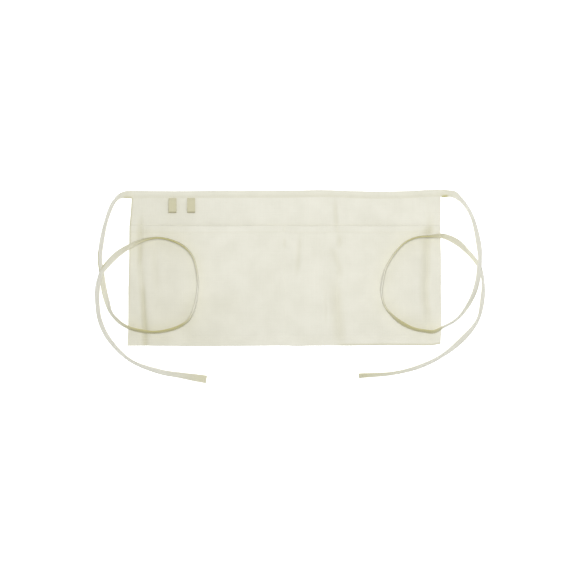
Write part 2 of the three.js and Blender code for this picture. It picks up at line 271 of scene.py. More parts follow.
class Pucker(NamedTuple):
    """How thread gathers the cloth: a valley under it, and small waves on both sides of it."""

    fade: float = 0.003  # past the ends of a row
    valley: float = 0.0015
    pitch: float = 0.0066
    drift: float = 2.4  # how far the waves fall out of step, in radians
    drift_length: float = 0.0113
    phase: float = 40.0  # so that no two rows are in step
    aside: float = 0.003
    spread: float = 0.0028
    share: float = 0.45  # of the waves' height to the valley's depth


PUCKER = Pucker()


class Seam(NamedTuple):
    """A straight row of stitches on the cut and how far its thread pulls the cloth down."""

    run: Run
    place: float
    start: float
    end: float
    pull: float

    def points(self, pitch: float) -> tuple[Array, Array]:
        """Spreads stitches evenly along the row.

        Args:
            pitch: About how far apart they are.

        Returns:
            The stitches' middles, as places across and up the cut.
        """
        count = max(2, round((self.end - self.start) / pitch))
        along = self.start + (np.arange(count) + 0.5) * (self.end - self.start) / count
        fixed = np.full(count, self.place)
        return (along, fixed) if self.run is Run.ACROSS else (fixed, along)

    def press(self, u: Array, v: Array) -> Array:
        """Works out how the seam shapes the cloth: a narrow valley with small puckers beside it.

        Args:
            u: Places across the apron.
            v: Places up the apron.

        Returns:
            A height for each place, below 0 in the valley.
        """
        along, across = (u, v - self.place) if self.run is Run.ACROSS else (v, u - self.place)
        here = smooth(along, self.start - PUCKER.fade, self.start)
        here = here - smooth(along, self.end, self.end + PUCKER.fade)
        valley = np.exp(-((across / PUCKER.valley) ** 2))
        beat = 2.0 * math.pi * along / PUCKER.pitch + PUCKER.drift * np.sin(along / PUCKER.drift_length)
        beat = beat + PUCKER.phase * self.place
        beside = (np.abs(across) - PUCKER.aside) / PUCKER.spread
        pucker = np.sin(beat) * np.exp(-(beside**2))
        return self.pull * here * (PUCKER.share * pucker - valley)


SIDE_EDGES = (
    EdgeRow(-0.126, -0.2542, 0.2526),
    EdgeRow(-0.098, -0.2533, 0.2540),
    EdgeRow(0.0, -0.2521, 0.2532),
    EdgeRow(0.069, -0.2506, 0.2522),
    EdgeRow(0.125, -0.2465, 0.2532),
)
BOTTOM_WAVES = (
    Wave(-0.120, 0.120, -0.0010),
    Wave(0.026, 0.026, -0.0008),
    Wave(0.175, 0.090, 0.0008),
    Wave(0.253, 0.016, 0.0028),
)
BAND_WAVES = (
    Wave(-0.180, 0.090, -0.0007),
    Wave(0.057, 0.055, 0.0010),
    Wave(0.155, 0.075, -0.0014),
    Wave(0.256, 0.060, 0.0020),
)
POCKETS = (
    Pocket(-0.230, -0.001, 0.0080, 1.25),
    Pocket(-0.001, 0.085, 0.0070, 1.35),
    Pocket(0.085, 0.231, 0.0077, 1.25),
)
POCKET_FOLDS = (Fold(-0.112, -0.014, -0.062, -0.058, 0.026, -0.0010),)
# darkening paints shade into each crease's valley
POCKET_CREASES = (
    Crease(((-0.0005, 0.050), (-0.0005, 0.030)), *both(0.0006, 0.0045, 0.010), fade=0.008, soil=0.22),
    Crease(
        ((0.0250, 0.060), (0.0200, -0.016)),
        Shoulder(0.0011, 0.0070, 0.034), Shoulder(0.0012, 0.0060, 0.020), fade=0.024, soil=0.24, core=0.0030,
    ),
    Crease(((0.0880, 0.056), (0.0895, 0.030)), *both(0.0010, 0.0070, 0.014), fade=0.012, soil=0.32),
    Crease(
        ((0.0755, 0.036), (0.0790, 0.026), (0.0890, 0.000), (0.0900, -0.020)),
        *both(0.0008, 0.0090, 0.012), fade=0.014, soil=0.22,
    ),
    Crease(
        ((0.0820, -0.012), (0.0860, -0.070), (0.0925, -0.140)),
        Shoulder(0.0024, 0.0170, 0.030), Shoulder(0.0024, 0.0150, 0.030), fade=0.044, soil=0.36, core=0.0050,
    ),
    Crease(((0.0665, -0.030), (0.0670, -0.098)), *both(0.0004, 0.0030, 0.008), soil=0.14),
    Crease(((-0.2110, 0.038), (-0.2060, -0.038)), *both(0.0008, 0.0090, 0.012), soil=0.16),
    Crease(
        ((-0.2285, -0.024), (-0.2273, -0.058), (-0.2262, -0.074), (-0.2236, -0.106), (-0.2216, -0.150)),
        Shoulder(0.0003, 0.0075, 0.012), Shoulder(0.0003, 0.0065, 0.012), fade=0.018, soil=0.30,
    ),
    Crease(
        ((-0.2305, 0.069), (-0.2320, 0.040)),
        Shoulder(0.0004, 0.0180, 0.012), Shoulder(0.0004, 0.0220, 0.012), fade=0.014, soil=0.26,
    ),
    Crease(
        ((-0.2342, 0.042), (-0.2344, 0.002)),
        Shoulder(0.0004, 0.0050, 0.008), Shoulder(0.0004, 0.0060, 0.008), fade=0.012, soil=0.22,
    ),
    Crease(
        ((0.2350, 0.070), (0.2325, 0.050)),
        Shoulder(0.0004, 0.0120, 0.012), Shoulder(0.0004, 0.0100, 0.012), fade=0.010, soil=0.30,
    ),
)
PANEL_FOLDS = (Fold(0.233, 0.104, 0.231, 0.052, 0.014, 0.0006),)
# darkening paints shade into each crease's valley
PANEL_CREASES = (
    Crease(
        ((0.0812, 0.116), (0.0826, 0.092), (0.0850, 0.054)),
        Shoulder(0.0012, 0.0070, 0.014), Shoulder(0.0011, 0.0060, 0.014), fade=0.022, soil=0.30,
    ),
    Crease(
        (
            (-0.2350, 0.092), (-0.2344, 0.060), (-0.2336, 0.024), (-0.2344, 0.011), (-0.2309, -0.020),
            (-0.2290, -0.040), (-0.2273, -0.058), (-0.2262, -0.074), (-0.2236, -0.106), (-0.2210, -0.160),
        ),
        Shoulder(0.0021, 0.0090, 0.040), Shoulder(0.0022, 0.0080, 0.020), soil=0.30,
    ),
    Crease(
        (
            (0.2400, 0.094), (0.2375, 0.065), (0.2315, 0.042), (0.2311, 0.024), (0.2300, -0.012),
            (0.2275, -0.030), (0.2285, -0.050), (0.2345, -0.100),
        ),
        Shoulder(0.0030, 0.0150, 0.040), Shoulder(0.0013, 0.0090, 0.014), fade=0.040, soil=0.38,
    ),
)


def waves_at(waves: tuple[Wave, ...], u: Array) -> Array:
    """Returns how far all the waves of an edge move it at places along it."""
    return sum(wave.rise * hump(u - wave.u, wave.reach) for wave in waves)


@dataclass(frozen=True)
class ApronCut:
    """The apron's cut and how its cloth lies: edges, hems, pockets, folds, seams and unevenness."""

    left: float = -0.252
    right: float = 0.2532
    bottom: float = -0.126
    mouth: float = 0.069
    top: float = 0.125
    tucked: float = 0.1235  # the apron panel's top edge, inside the waistband's fold
    band_depth: float = 0.0116
    band_ramp: Span = (0.006, 0.008)  # below and above the lip, where the panel rises into the waistband
    layer: float = 0.0012
    gap: float = 0.0003
    ground: float = 0.0003  # air under the hems, where the thread of the back's stitches lies
    unhemmed: float = 0.0004  # more air where there is no hem
    side_hem: Hem = Hem(0.020, 0.0060, 0.0008)
    bottom_hem: Hem = Hem(0.013, 0.0030, 0.0006)
    mouth_hem: Hem = Hem(0.0112, 0.0018, 0.0005)
    side_row: float = 0.0205  # from a side edge to its row of stitches
    bottom_rows: Span = (0.0074, 0.0118)  # from the bottom edge to its two rows
    below_mouth: float = 0.0103  # from the mouth to its row
    row_ends: float = 0.0015  # what a row leaves bare at an edge
    row_tops: float = 0.001  # what an upright row leaves bare below the mouth or the waistband
    mouth_pull: float = 0.00016
    row_pull: float = 0.00012
    divider_pull: float = 0.00010
    slant: Span = (0.026, 0.080)  # from a side edge: where its slant carries all of the cloth, and none
    wave_fade: float = 0.030  # how far above the bottom edge its waves die out
    loose_from_side: Span = (0.018, 0.034)  # distances between which the cloth comes loose from its hems
    loose_from_bottom: Span = (0.010, 0.030)
    mouth_sag: float = 0.0016
    belly: float = 0.8  # below 1, a pocket swells early above the bottom hem
    taut: Span = (3.0, 6.0)  # how soon a pocket's cloth is loose, across from a seam and up from the hem
    slack: float = 0.9  # how much of its own unevenness the pocket cloth has
    slack_from: Span = (0.31, 0.17)  # how far away on the ripples that unevenness is taken
    sewn: float = 0.0002  # how far the pocket cloth's underside closes on the apron panel at a seam
    sewn_lift: float = 0.0012
    crease_under: float = 0.8  # how much of a crease shows on the pocket cloth's underside
    swells: tuple[Ripple, ...] = (
        Ripple(3, 0.046, 0.0009),
        Ripple(8, 0.019, 0.0004),
        Ripple(21, 0.0085, 0.00016),
    )
    fray: Ripple = Ripple(5, 0.017, 0.0008)
    side_fray: float = 0.018  # how far from an edge its fraying moves the cloth
    mouth_fray: float = 0.016
    bottom_share: float = 0.6  # of the fraying, at the bottom edge and at the mouth
    mouth_share: float = 0.5
    bottom_ripple: float = 0.3  # where on the ripple the fraying of the bottom edge and the mouth is taken
    mouth_ripple: float = 0.7

    @property
    def lip(self) -> float:
        """The waistband's lower edge."""
        return self.top - self.band_depth

    @property
    def hem_top(self) -> float:
        """The upper side of the bottom hem, where the pockets end."""
        return self.bottom + self.bottom_hem.width

    @property
    def mouth_row(self) -> float:
        """The row of stitches along the mouth."""
        return self.mouth - self.below_mouth

    @property
    def side_rows(self) -> Span:
        """The rows of stitches along the side hems."""
        return self.left + self.side_row, self.right - self.side_row

    def pocket_seams(self) -> tuple[Seam, ...]:
        """Lays out the rows of stitches that the pocket panel shows.

        Returns:
            The mouth's row first, and then the bottom rows, the side rows and the dividers.
        """
        ends = (self.left + self.row_ends, self.right - self.row_ends)
        low, high = self.bottom + self.row_ends, self.mouth - self.row_tops
        mouth_row = Seam(Run.ACROSS, self.mouth_row, *ends, self.mouth_pull)
        bottom_rows = [Seam(Run.ACROSS, self.bottom + up, *ends, self.row_pull) for up in self.bottom_rows]
        side_rows = [Seam(Run.UP, u, low, high, self.row_pull) for u in self.side_rows]
        dividers = [Seam(Run.UP, p.left, self.hem_top, high, self.divider_pull) for p in POCKETS[1:]]
        return (mouth_row, *bottom_rows, *side_rows, *dividers)

    def panel_seams(self) -> tuple[Seam, ...]:
        """Returns the rows of stitches that the apron panel shows above the pocket mouth."""
        high = self.lip - self.row_tops
        return tuple(Seam(Run.UP, u, self.mouth, high, self.row_pull) for u in self.side_rows)

    def from_side(self, u: Array) -> Array:
        """Returns the distance from the nearer side edge."""
        return np.minimum(u - self.left, self.right - u)

    def aside(self, u: Array, v: Array) -> Array:
        """Works out how far the slanting side edges carry the cloth along +X.

        Args:
            u: Places across the apron.
            v: Places up the apron.

        Returns:
            A distance for each place.
        """
        near, far = self.slant
        heights = [row.v for row in SIDE_EDGES]
        left = np.interp(v, heights, [row.left for row in SIDE_EDGES]) - self.left
        right = np.interp(v, heights, [row.right for row in SIDE_EDGES]) - self.right
        near_left = 1.0 - smooth(u, self.left + near, self.left + far)
        near_right = smooth(u, self.right - far, self.right - near)
        wobble = self.fray.at(v, 0.0 * u) - 0.5 * self.fray.height
        return left * near_left + right * near_right + wobble * hump(self.from_side(u), self.side_fray)

    def band_top(self, u: Array) -> Array:
        """Returns the waistband's upper edge, which lies in low waves."""
        return self.top + waves_at(BAND_WAVES, u)

    def bottom_wave(self, u: Array, v: Array) -> Array:
        """Returns how far the waves of the bottom edge move the cloth along +Y."""
        wobble = self.bottom_share * (self.fray.at(u, self.bottom_ripple + 0.0 * v) - 0.5 * self.fray.height)
        return (waves_at(BOTTOM_WAVES, u) + wobble) * hump(v - self.bottom, self.wave_fade)

    def into_band(self, v: Array) -> Array:
        """Returns 0 in the open cloth and 1 where the apron panel has risen into the waistband."""
        return smooth(v, self.lip - self.band_ramp[0], self.lip + self.band_ramp[1])

    def unevenness(self, u: Array, v: Array) -> Array:
        """Returns the low swells that loose cloth lies in."""
        return sum(swell.at(u, v) for swell in self.swells)

    def hems(self, u: Array, v: Array) -> Array:
        """Works out the height that the side and bottom hems add below the waistband.

        Args:
            u: Places across the apron.
            v: Places up the apron.

        Returns:
            A height for each place.
        """
        side = self.side_hem.height(self.from_side(u))
        low = self.bottom_hem.height(v - self.bottom)
        return (1.0 - self.into_band(v)) * np.maximum(side, low)

    def open_cloth(self, u: Array, v: Array) -> Array:
        """Works out how the apron panel lies in its folds, its creases and, away from its hems, its swells.

        Args:
            u: Places across the apron.
            v: Places up the apron.

        Returns:
            A height for each place.
        """
        folds = sum(fold.lift(u, v) for fold in (*PANEL_FOLDS, *PANEL_CREASES))
        loose = smooth(self.from_side(u), *self.loose_from_side)
        loose = loose * smooth(v - self.bottom, *self.loose_from_bottom)
        return folds + loose * self.unevenness(u, v)

    def panel_under(self, u: Array, v: Array) -> Array:
        """Works out the apron panel's underside, which the hems behind it hold off the surface.

        Args:
            u: Places across the apron.
            v: Places up the apron.

        Returns:
            A height for each place.
        """
        band = self.into_band(v)
        unhemmed = np.maximum(self.unhemmed * (1.0 - self.hems(u, v) / self.side_hem.rise), 0.0)
        below = self.open_cloth(u, v) + self.ground + unhemmed
        return band * (self.layer + self.gap) + (1.0 - band) * below

    def panel_face(self, u: Array, v: Array) -> Array:
        """Works out the apron panel's face.

        Args:
            u: Places across the apron.
            v: Places up the apron.

        Returns:
            A height for each place.
        """
        band = self.into_band(v)
        seams = sum(seam.press(u, v) for seam in self.panel_seams())
        above = self.open_cloth(u, v) + self.hems(u, v) + seams + self.layer
        return band * (2.0 * self.layer + self.gap) + (1.0 - band) * above

    def pocket_lift(self, u: Array, v: Array) -> Array:
        """Works out how far the pocket cloth stands off the apron panel.

        Args:
            u: Places across the apron.
            v: Places up the apron.

        Returns:
            A height for each place, nothing at a seam and most at a mouth.
        """
        up = np.clip((v - self.hem_top) / (self.mouth - self.hem_top), 0.0, 1.0)
        swell = np.sin(0.5 * math.pi * up**self.belly)
        folds = sum(fold.lift(u, v) for fold in POCKET_FOLDS)
        own = self.unevenness(u + self.slack_from[0], v + self.slack_from[1])
        slack = self.slack * (own - self.unevenness(u, v))
        total = 0.0
        for pocket in POCKETS:
            across = pocket.across(u)
            loose = np.minimum(1.0, across * self.taut[0]) * np.minimum(1.0, up * self.taut[1])
            stand = pocket.rise * across**pocket.fullness * swell
            total = total + np.maximum(0.0, stand + loose * (folds + slack))
        return total

    def pocket_face(self, u: Array, v: Array) -> Array:
        """Works out the pocket panel's face, two layers thick along the mouth hem.

        Args:
            u: Places across the apron.
            v: Places up the apron.

        Returns:
            A height for each place.
        """
        seams = sum(seam.press(u, v) for seam in self.pocket_seams())
        below = self.panel_face(u, v) + self.gap + self.pocket_lift(u, v)
        creases = sum(crease.lift(u, v) for crease in POCKET_CREASES)
        return below + self.layer + self.mouth_hem.height(self.mouth - v) + creases + seams

    def pocket_under(self, u: Array, v: Array) -> Array:
        """Works out the pocket panel's underside, which closes on the apron panel where the two are sewn.

        Args:
            u: Places across the apron.
            v: Places up the apron.

        Returns:
            A height for each place.
        """
        lift = self.pocket_lift(u, v)
        sewn = self.sewn * hump(lift, self.sewn_lift)
        creases = sum(crease.lift(u, v) for crease in POCKET_CREASES)
        return self.panel_face(u, v) + self.gap + lift + self.crease_under * creases - sewn

    def place_panel(self, u: Array, v: Array) -> tuple[Array, Array]:
        """Returns where places of the apron panel's cut lie on the surface."""
        along_band = waves_at(BAND_WAVES, u) * smooth(v, self.mouth, self.lip)
        return u + self.aside(u, v), v + self.bottom_wave(u, v) + along_band

    def place_pocket(self, u: Array, v: Array) -> tuple[Array, Array]:
        """Works out where places of the pocket panel's cut lie on the surface.

        Args:
            u: Places across the apron.
            v: Places up the apron.

        Returns:
            The places along the waistband and those up the apron.
        """
        sag = sum(self.mouth_sag * pocket.across(u) for pocket in POCKETS) * smooth(v, 0.0, self.mouth)
        ragged = self.mouth_share * self.fray.at(u, self.mouth_ripple + 0.0 * v)
        ragged = ragged * hump(self.mouth - v, self.mouth_fray)
        return u + self.aside(u, v), v + self.bottom_wave(u, v) - sag - ragged

    def rest_height(self, x: Array, y: Array) -> Array:
        """Works out the top of whatever lies at places: pocket panel, apron panel or the bare surface.

        Args:
            x: Places along the waistband.
            y: Places up the apron.

        Returns:
            A height for each place.
        """
        u = x - self.aside(x, y)
        on_cloth = (self.from_side(u) > 0.0) & (y > self.bottom) & (y < self.top)
        cloth = np.where(y < self.mouth, self.pocket_face(u, y), self.panel_face(u, y))
        return np.where(on_cloth, cloth, 0.0)


def cloth_lines(low: float, high: float, steps: tuple[float, ...], crisp: tuple[float, ...]) -> Array:
    """Lays out grid lines over a cut, closer together at its rim and along seams and ledges.

    Args:
        low: The first line.
        high: The last line.
        steps: The spacing of the open cloth, or one spacing for each of several equal stretches.
        crisp: Lines beside which the grid is fine.

    Returns:
        The lines in order.
    """
    rim = np.array([0.0, 0.0002, 0.0005, 0.001, 0.0018, 0.003])
    beside = np.array([0.0, 0.0005, 0.0011, 0.0019, 0.003, 0.0044])
    stretches = np.linspace(low, high, len(steps) + 1)
    fine = [low + rim, high - rim]
    fine += [line + sign * beside for line in crisp for sign in (-1.0, 1.0)]
    fine = np.unique(np.clip(np.concatenate(fine), low, high).round(5))
    base = [np.arange(start, end, step) for start, end, step in zip(stretches, stretches[1:], steps)]
    base = np.concatenate(base)
    clear = np.abs(base[:, None] - fine[None, :]).min(axis=1) > 0.6 * min(steps)
    lines = np.sort(np.concatenate([fine, base[clear]]))
    kept = [lines[0]]
    for line in lines[1:-1]:
        if line - kept[-1] > LEAST_SPACING and lines[-1] - line > LEAST_SPACING:
            kept.append(line)
    return np.array([*kept, lines[-1]])


def grid_faces(index: Array) -> Array:
    """Returns the quads of a grid of numbered points, facing +Z."""
    corners = [index[:-1, :-1], index[:-1, 1:], index[1:, 1:], index[1:, :-1]]
    return np.stack(corners, axis=-1).reshape(-1, 4)


def tube_faces(count: int, sides: int) -> list[list[int]]:
    """Joins rings of points along a line, and closes both ends.

    Args:
        count: How many rings there are.
        sides: How many points a ring has, right-handed about the line's direction.

    Returns:
        The numbers of each face's points.
    """
    index = np.arange(count * sides).reshape(count, sides)
    ahead = np.roll(index, -1, axis=1)
    quads = np.stack([index[:-1], ahead[:-1], ahead[1:], index[1:]], axis=-1).reshape(-1, 4)
    return [*quads.tolist(), index[0, ::-1].tolist(), index[-1].tolist()]


def mesh_piece(name: str, points: Array, faces: list[list[int]]) -> bpy.types.Object:
    """Makes a smooth mesh object at the origin.

    Args:
        name: The piece's name.
        points: Its points, one row each.
        faces: The numbers of each face's points.

    Returns:
        The new object.
    """
    mesh = bpy.data.meshes.new(name)
    mesh.from_pydata(points.tolist(), [], faces)
    mesh.update()
    mesh.shade_smooth()
    mesh.set_sharp_from_angle(angle=SHARP_ANGLE)
    piece = bpy.data.objects.new(name, mesh)
    bpy.context.collection.objects.link(piece)
    return piece


def add_mask(piece: bpy.types.Object, name: str, values: Array) -> None:
    """Stores one value for each point of a piece as an attribute that a finish can read."""
    attribute = piece.data.attributes.new(name, "FLOAT", "POINT")
    attribute.data.foreach_set("value", np.ascontiguousarray(values, dtype=np.float32).ravel())


def add_lengthways(piece: bpy.types.Object, along: Array, across: Array) -> None:
    """Gives a piece of tape its own map, in metres.

    Args:
        piece: The tape.
        along: Each point's place along the tape.
        across: Each point's place across it.
    """
    loops = np.empty(len(piece.data.loops), dtype=np.int32)
    piece.data.loops.foreach_get("vertex_index", loops)
    places = np.column_stack([along.ravel()[loops], across.ravel()[loops]])
    layer = piece.data.uv_layers.new(name=TAPE_MAP)
    layer.data.foreach_set("uv", places.astype(np.float32).ravel())


def shell_piece(name: str, face: Array, under: Array) -> bpy.types.Object:
    """Makes a closed sheet between two grids of points.

    Args:
        name: The piece's name.
        face: Rows of points of the upper side, rows up the apron and columns along it.
        under: The same rows of the lower side.

    Returns:
        The new object.
    """
    rows, columns = face.shape[:2]
    upper = np.arange(rows * columns).reshape(rows, columns)
    rim = np.concatenate([upper[0, :-1], upper[:-1, -1], upper[-1, :0:-1], upper[:0:-1, 0]])
    following = np.roll(rim, -1)
    lower = rows * columns
    wall = np.stack([rim + lower, following + lower, following, rim], axis=-1)
    faces = np.vstack([grid_faces(upper), grid_faces(upper + lower)[:, ::-1], wall])
    points = np.vstack([face.reshape(-1, 3), under.reshape(-1, 3)])
    return mesh_piece(name, points, faces.tolist())


def loft_piece(name: str, rings: Array, inside_out: bool = False) -> bpy.types.Object:
    """Makes a closed piece through rings of points along a line.

    Args:
        name: The piece's name.
        rings: Rows of ring points, right-handed about the line's direction.
        inside_out: Whether the rings run the other way round.

    Returns:
        The new object.
    """
    faces = tube_faces(*rings.shape[:2])
    if inside_out:
        faces = [corners[::-1] for corners in faces]
    return mesh_piece(name, rings.reshape(-1, 3), faces)


class Board:
    """A node tree to which nodes are added and joined."""

    def __init__(self, tree: bpy.types.NodeTree) -> None:
        """Keeps the tree."""
        self.tree = tree

    def add(self, kind: str, **settings: object) -> bpy.types.Node:
        """Adds a node.

        Args:
            kind: The node's type.
            settings: Values of its properties.

        Returns:
            The new node.
        """
        node = self.tree.nodes.new(kind)
        for name, value in settings.items():
            setattr(node, name, value)
        return node

    def feed(self, socket: bpy.types.NodeSocket, value: object) -> None:
        """Joins another node's output to a socket, or sets the socket's own value.

        Args:
            socket: The input.
            value: An output socket, or a plain value.
        """
        if isinstance(value, bpy.types.NodeSocket):
            self.tree.links.new(value, socket)
        else:
            socket.default_value = value

    def math(self, operation: str, first: object, second: object = 0.0) -> bpy.types.NodeSocket:
        """Adds a math node.

        Args:
            operation: What it does.
            first: A socket or a number.
            second: Another one.

        Returns:
            The result.
        """
        node = self.add("ShaderNodeMath", operation=operation)
        self.feed(node.inputs[0], first)
        self.feed(node.inputs[1], second)
        return node.outputs[0]

    def scaled(self, value: object, factor: float, offset: float = 0.0) -> bpy.types.NodeSocket:
        """Returns a value multiplied by a factor, with an offset added where there is one."""
        product = self.math("MULTIPLY", value, factor)
        return self.math("ADD", product, offset) if offset else product

    def mix(
        self, kind: str, share: object, first: object, second: object, blend: str = "MIX"
    ) -> bpy.types.NodeSocket:
        """Adds a mix of two values or colours.

        Args:
            kind: FLOAT for values or RGBA for colours.
            share: How much of the second goes in.
            first: A socket or a value.
            second: Another one.
            blend: How colours are blended.

        Returns:
            The mixed value or colour.
        """
        node = self.add("ShaderNodeMix", data_type=kind, blend_type=blend)
        wanted = [socket for socket in node.inputs if socket.enabled]
        for socket, value in zip(wanted, (share, first, second)):
            self.feed(socket, value)
        return next(socket for socket in node.outputs if socket.enabled)

    def tint(self, share: object, first: object, second: Colour, blend: str = "MIX") -> bpy.types.NodeSocket:
        """Returns a colour mixed with a plain colour."""
        return self.mix("RGBA", share, first, (*second, 1.0), blend)

    def noise(self, vector: object, scale: float, detail: float) -> bpy.types.NodeSocket:
        """Adds a noise texture.

        Args:
            vector: Where it is read.
            scale: How close its lumps are.
            detail: How many finer layers it has.

        Returns:
            Its value.
        """
        node = self.add("ShaderNodeTexNoise")
        self.feed(node.inputs["Vector"], vector)
        node.inputs["Scale"].default_value = scale
        node.inputs["Detail"].default_value = detail
        return node.outputs[0]

    def stretched(self, vector: object, factors: tuple[float, float, float]) -> bpy.types.NodeSocket:
        """Multiplies each part of a vector.

        Args:
            vector: The vector.
            factors: A factor for each of its parts.

        Returns:
            The new vector.
        """
        node = self.add("ShaderNodeVectorMath", operation="MULTIPLY")
        self.feed(node.inputs[0], vector)
        node.inputs[1].default_value = factors
        return node.outputs[0]

    def ramp(self, value: object, low: float, high: float) -> bpy.types.NodeSocket:
        """Adds a smooth step.

        Args:
            value: What it is a step of.
            low: Where it starts.
            high: Where it ends.

        Returns:
            0 below low and 1 above high.
        """
        node = self.add("ShaderNodeMapRange", interpolation_type="SMOOTHSTEP")
        self.feed(node.inputs["Value"], value)
        node.inputs["From Min"].default_value = low
        node.inputs["From Max"].default_value = high
        return node.outputs[0]


@dataclass(frozen=True)
class SharedEffect:
    """A shader node group, built once and placed in each finish that uses it."""

    name: str
    inputs: tuple[tuple[str, str], ...]
    outputs: tuple[str, ...]

    def start(self) -> tuple[Board, bpy.types.Node, bpy.types.Node]:
        """Makes the empty group with its sockets.

        Returns:
            The group's board, its input node and its output node.
        """
        tree = bpy.data.node_groups.new(self.name, "ShaderNodeTree")
        for label, kind in self.inputs:
            tree.interface.new_socket(label, in_out="INPUT", socket_type=kind)
        for label in self.outputs:
            tree.interface.new_socket(label, in_out="OUTPUT", socket_type="NodeSocketFloat")
        board = Board(tree)
        return board, board.add("NodeGroupInput"), board.add("NodeGroupOutput")

    def place(self, board: Board, **values: object) -> bpy.types.Node:
        """Places the group on a finish's board.

        Args:
            board: The finish's board.
            values: What each of the group's inputs is fed.

        Returns:
            The group's node.
        """
        if self.name not in bpy.data.node_groups:
            self.build()
        node = board.add("ShaderNodeGroup", node_tree=bpy.data.node_groups[self.name])
        for label, value in values.items():
            board.feed(node.inputs[label], value)
        return node

    def build(self) -> None:
        """Builds the group's nodes."""
        raise NotImplementedError


class PlainWeave(SharedEffect):
    """Yarns that pass over and under each other, with each yarn's own tone."""

    ROUND: ClassVar[float] = 0.6  # below 1, a yarn's section is fuller than an arc
    DIP: ClassVar[float] = 0.45  # share of a yarn's height that it loses towards the next crossing
    TONE_FROM: ClassVar[Span] = (0.37, 61.73)  # keeps the two sets of yarns apart in tone

    def build(self) -> None:
        """Builds the weave from two sets of yarns and a chequer of crossings."""
        board, given, result = self.start()
        parts = board.add("ShaderNodeSeparateXYZ")
        board.feed(parts.inputs[0], given.outputs["Vector"])
        warp, weft = (board.math("DIVIDE", parts.outputs[i], given.outputs["Pitch"]) for i in (0, 1))
        warp_arc, weft_arc = (
            board.math("ABSOLUTE", board.math("SINE", board.math("MULTIPLY", yarn, math.pi)))
            for yarn in (warp, weft)
        )
        numbers = [board.math("FLOOR", yarn) for yarn in (warp, weft)]
        over = board.math("FLOORED_MODULO", board.math("ADD", *numbers), 2.0)
        heights = []
        for round_arc, long_arc in ((warp_arc, weft_arc), (weft_arc, warp_arc)):
            crown = board.math("MULTIPLY_ADD", long_arc, self.DIP)
            crown.node.inputs[2].default_value = 1.0 - self.DIP
            heights.append(board.math("MULTIPLY", board.math("POWER", round_arc, self.ROUND), crown))
        tones = []
        for number, start in zip(numbers, self.TONE_FROM):
            tone = board.add("ShaderNodeTexWhiteNoise", noise_dimensions="1D")
            board.feed(tone.inputs["W"], board.math("ADD", number, start))
            tones.append(tone.outputs["Value"])
        board.feed(result.inputs["Height"], board.mix("FLOAT", over, *heights))
        board.feed(result.inputs["Yarn"], board.mix("FLOAT", over, *tones))


class CottonUnevenness(SharedEffect):
    """What natural cotton shows at a distance: thick places in the yarns, clouds and seed flecks."""

    ALONG: ClassVar[float] = 34.0  # thick places to a metre of yarn
    YARNS: ClassVar[float] = 900.0  # changes to a metre from yarn to yarn
    CLOUDS: ClassVar[float] = 30.0
    FLECKS: ClassVar[float] = 620.0

    def build(self) -> None:
        """Builds the slubs of both sets of yarns, the clouds and the flecks."""
        board, given, result = self.start()
        vector = given.outputs["Vector"]
        lengthways = board.noise(board.stretched(vector, (self.ALONG, self.YARNS, 0.0)), 1.0, 2.0)
        crossways = board.noise(board.stretched(vector, (self.YARNS, self.ALONG, 0.0)), 1.0, 2.0)
        slubs = board.scaled(board.math("ADD", lengthways, crossways), 0.5)
        board.feed(result.inputs["Slub"], board.ramp(slubs, 0.30, 0.70))
        board.feed(result.inputs["Cloud"], board.ramp(board.noise(vector, self.CLOUDS, 4.0), 0.25, 0.75))
        board.feed(result.inputs["Fleck"], board.ramp(board.noise(vector, self.FLECKS, 1.0), 0.74, 0.82))


class EdgeWear(SharedEffect):
    """Rubbed fold edges, broken up along their length."""

    BREAKS: ClassVar[float] = 240.0

    def build(self) -> None:
        """Builds the mask from the edge mask and a fine noise."""
        board, given, result = self.start()
        broken = board.ramp(board.noise(given.outputs["Vector"], self.BREAKS, 3.0), 0.35, 0.65)
        board.feed(result.inputs["Wear"], board.math("MULTIPLY", given.outputs["Edge"], broken))


VECTOR_INPUT = ("Vector", "NodeSocketVector")
WEAVE = PlainWeave("plain_weave", (VECTOR_INPUT, ("Pitch", "NodeSocketFloat")), ("Height", "Yarn"))
COTTON = CottonUnevenness("cotton_unevenness", (VECTOR_INPUT,), ("Slub", "Cloud", "Fleck"))
WEAR = EdgeWear("edge_wear", (VECTOR_INPUT, ("Edge", "NodeSocketFloat")), ("Wear",))


class Grain(Enum):
    """What a cloth's weave follows."""

    FRAME = "Object"
    TAPE = TAPE_MAP


def empty_material(name: str) -> tuple[bpy.types.Material, Board, bpy.types.Node]:
    """Makes a material that holds only its surface shader.

    Args:
        name: The material's name.

    Returns:
        The material, its board and its shader node.
    """
    material = bpy.data.materials.new(name)
    material.use_nodes = True
    board = Board(material.node_tree)
    shader = next(node for node in board.tree.nodes if node.type == "BSDF_PRINCIPLED")
    return material, board, shader


@dataclass(frozen=True)
class Finish:
    """A finish whose material is made once, on first use."""

    name: str

    def material(self) -> bpy.types.Material:
        """Returns the finish's material."""
        known = bpy.data.materials.get(self.name)
        return known if known else self.mix_material()

    def mix_material(self) -> bpy.types.Material:
        """Builds the material."""
        raise NotImplementedError

    def raise_surface(
        self, board: Board, shader: bpy.types.Node, height: bpy.types.NodeSocket, relief: float, depth: float
    ) -> None:
        """Gives a material's surface its fine relief.

        Args:
            board: The material's board.
            shader: Its shader node.
            height: The relief's height.
            relief: How strongly it shows.
            depth: How deep it is.
        """
        bump = board.add("ShaderNodeBump")
        bump.inputs["Strength"].default_value = relief
        bump.inputs["Distance"].default_value = depth
        board.feed(bump.inputs["Height"], height)
        board.feed(shader.inputs["Normal"], bump.outputs["Normal"])


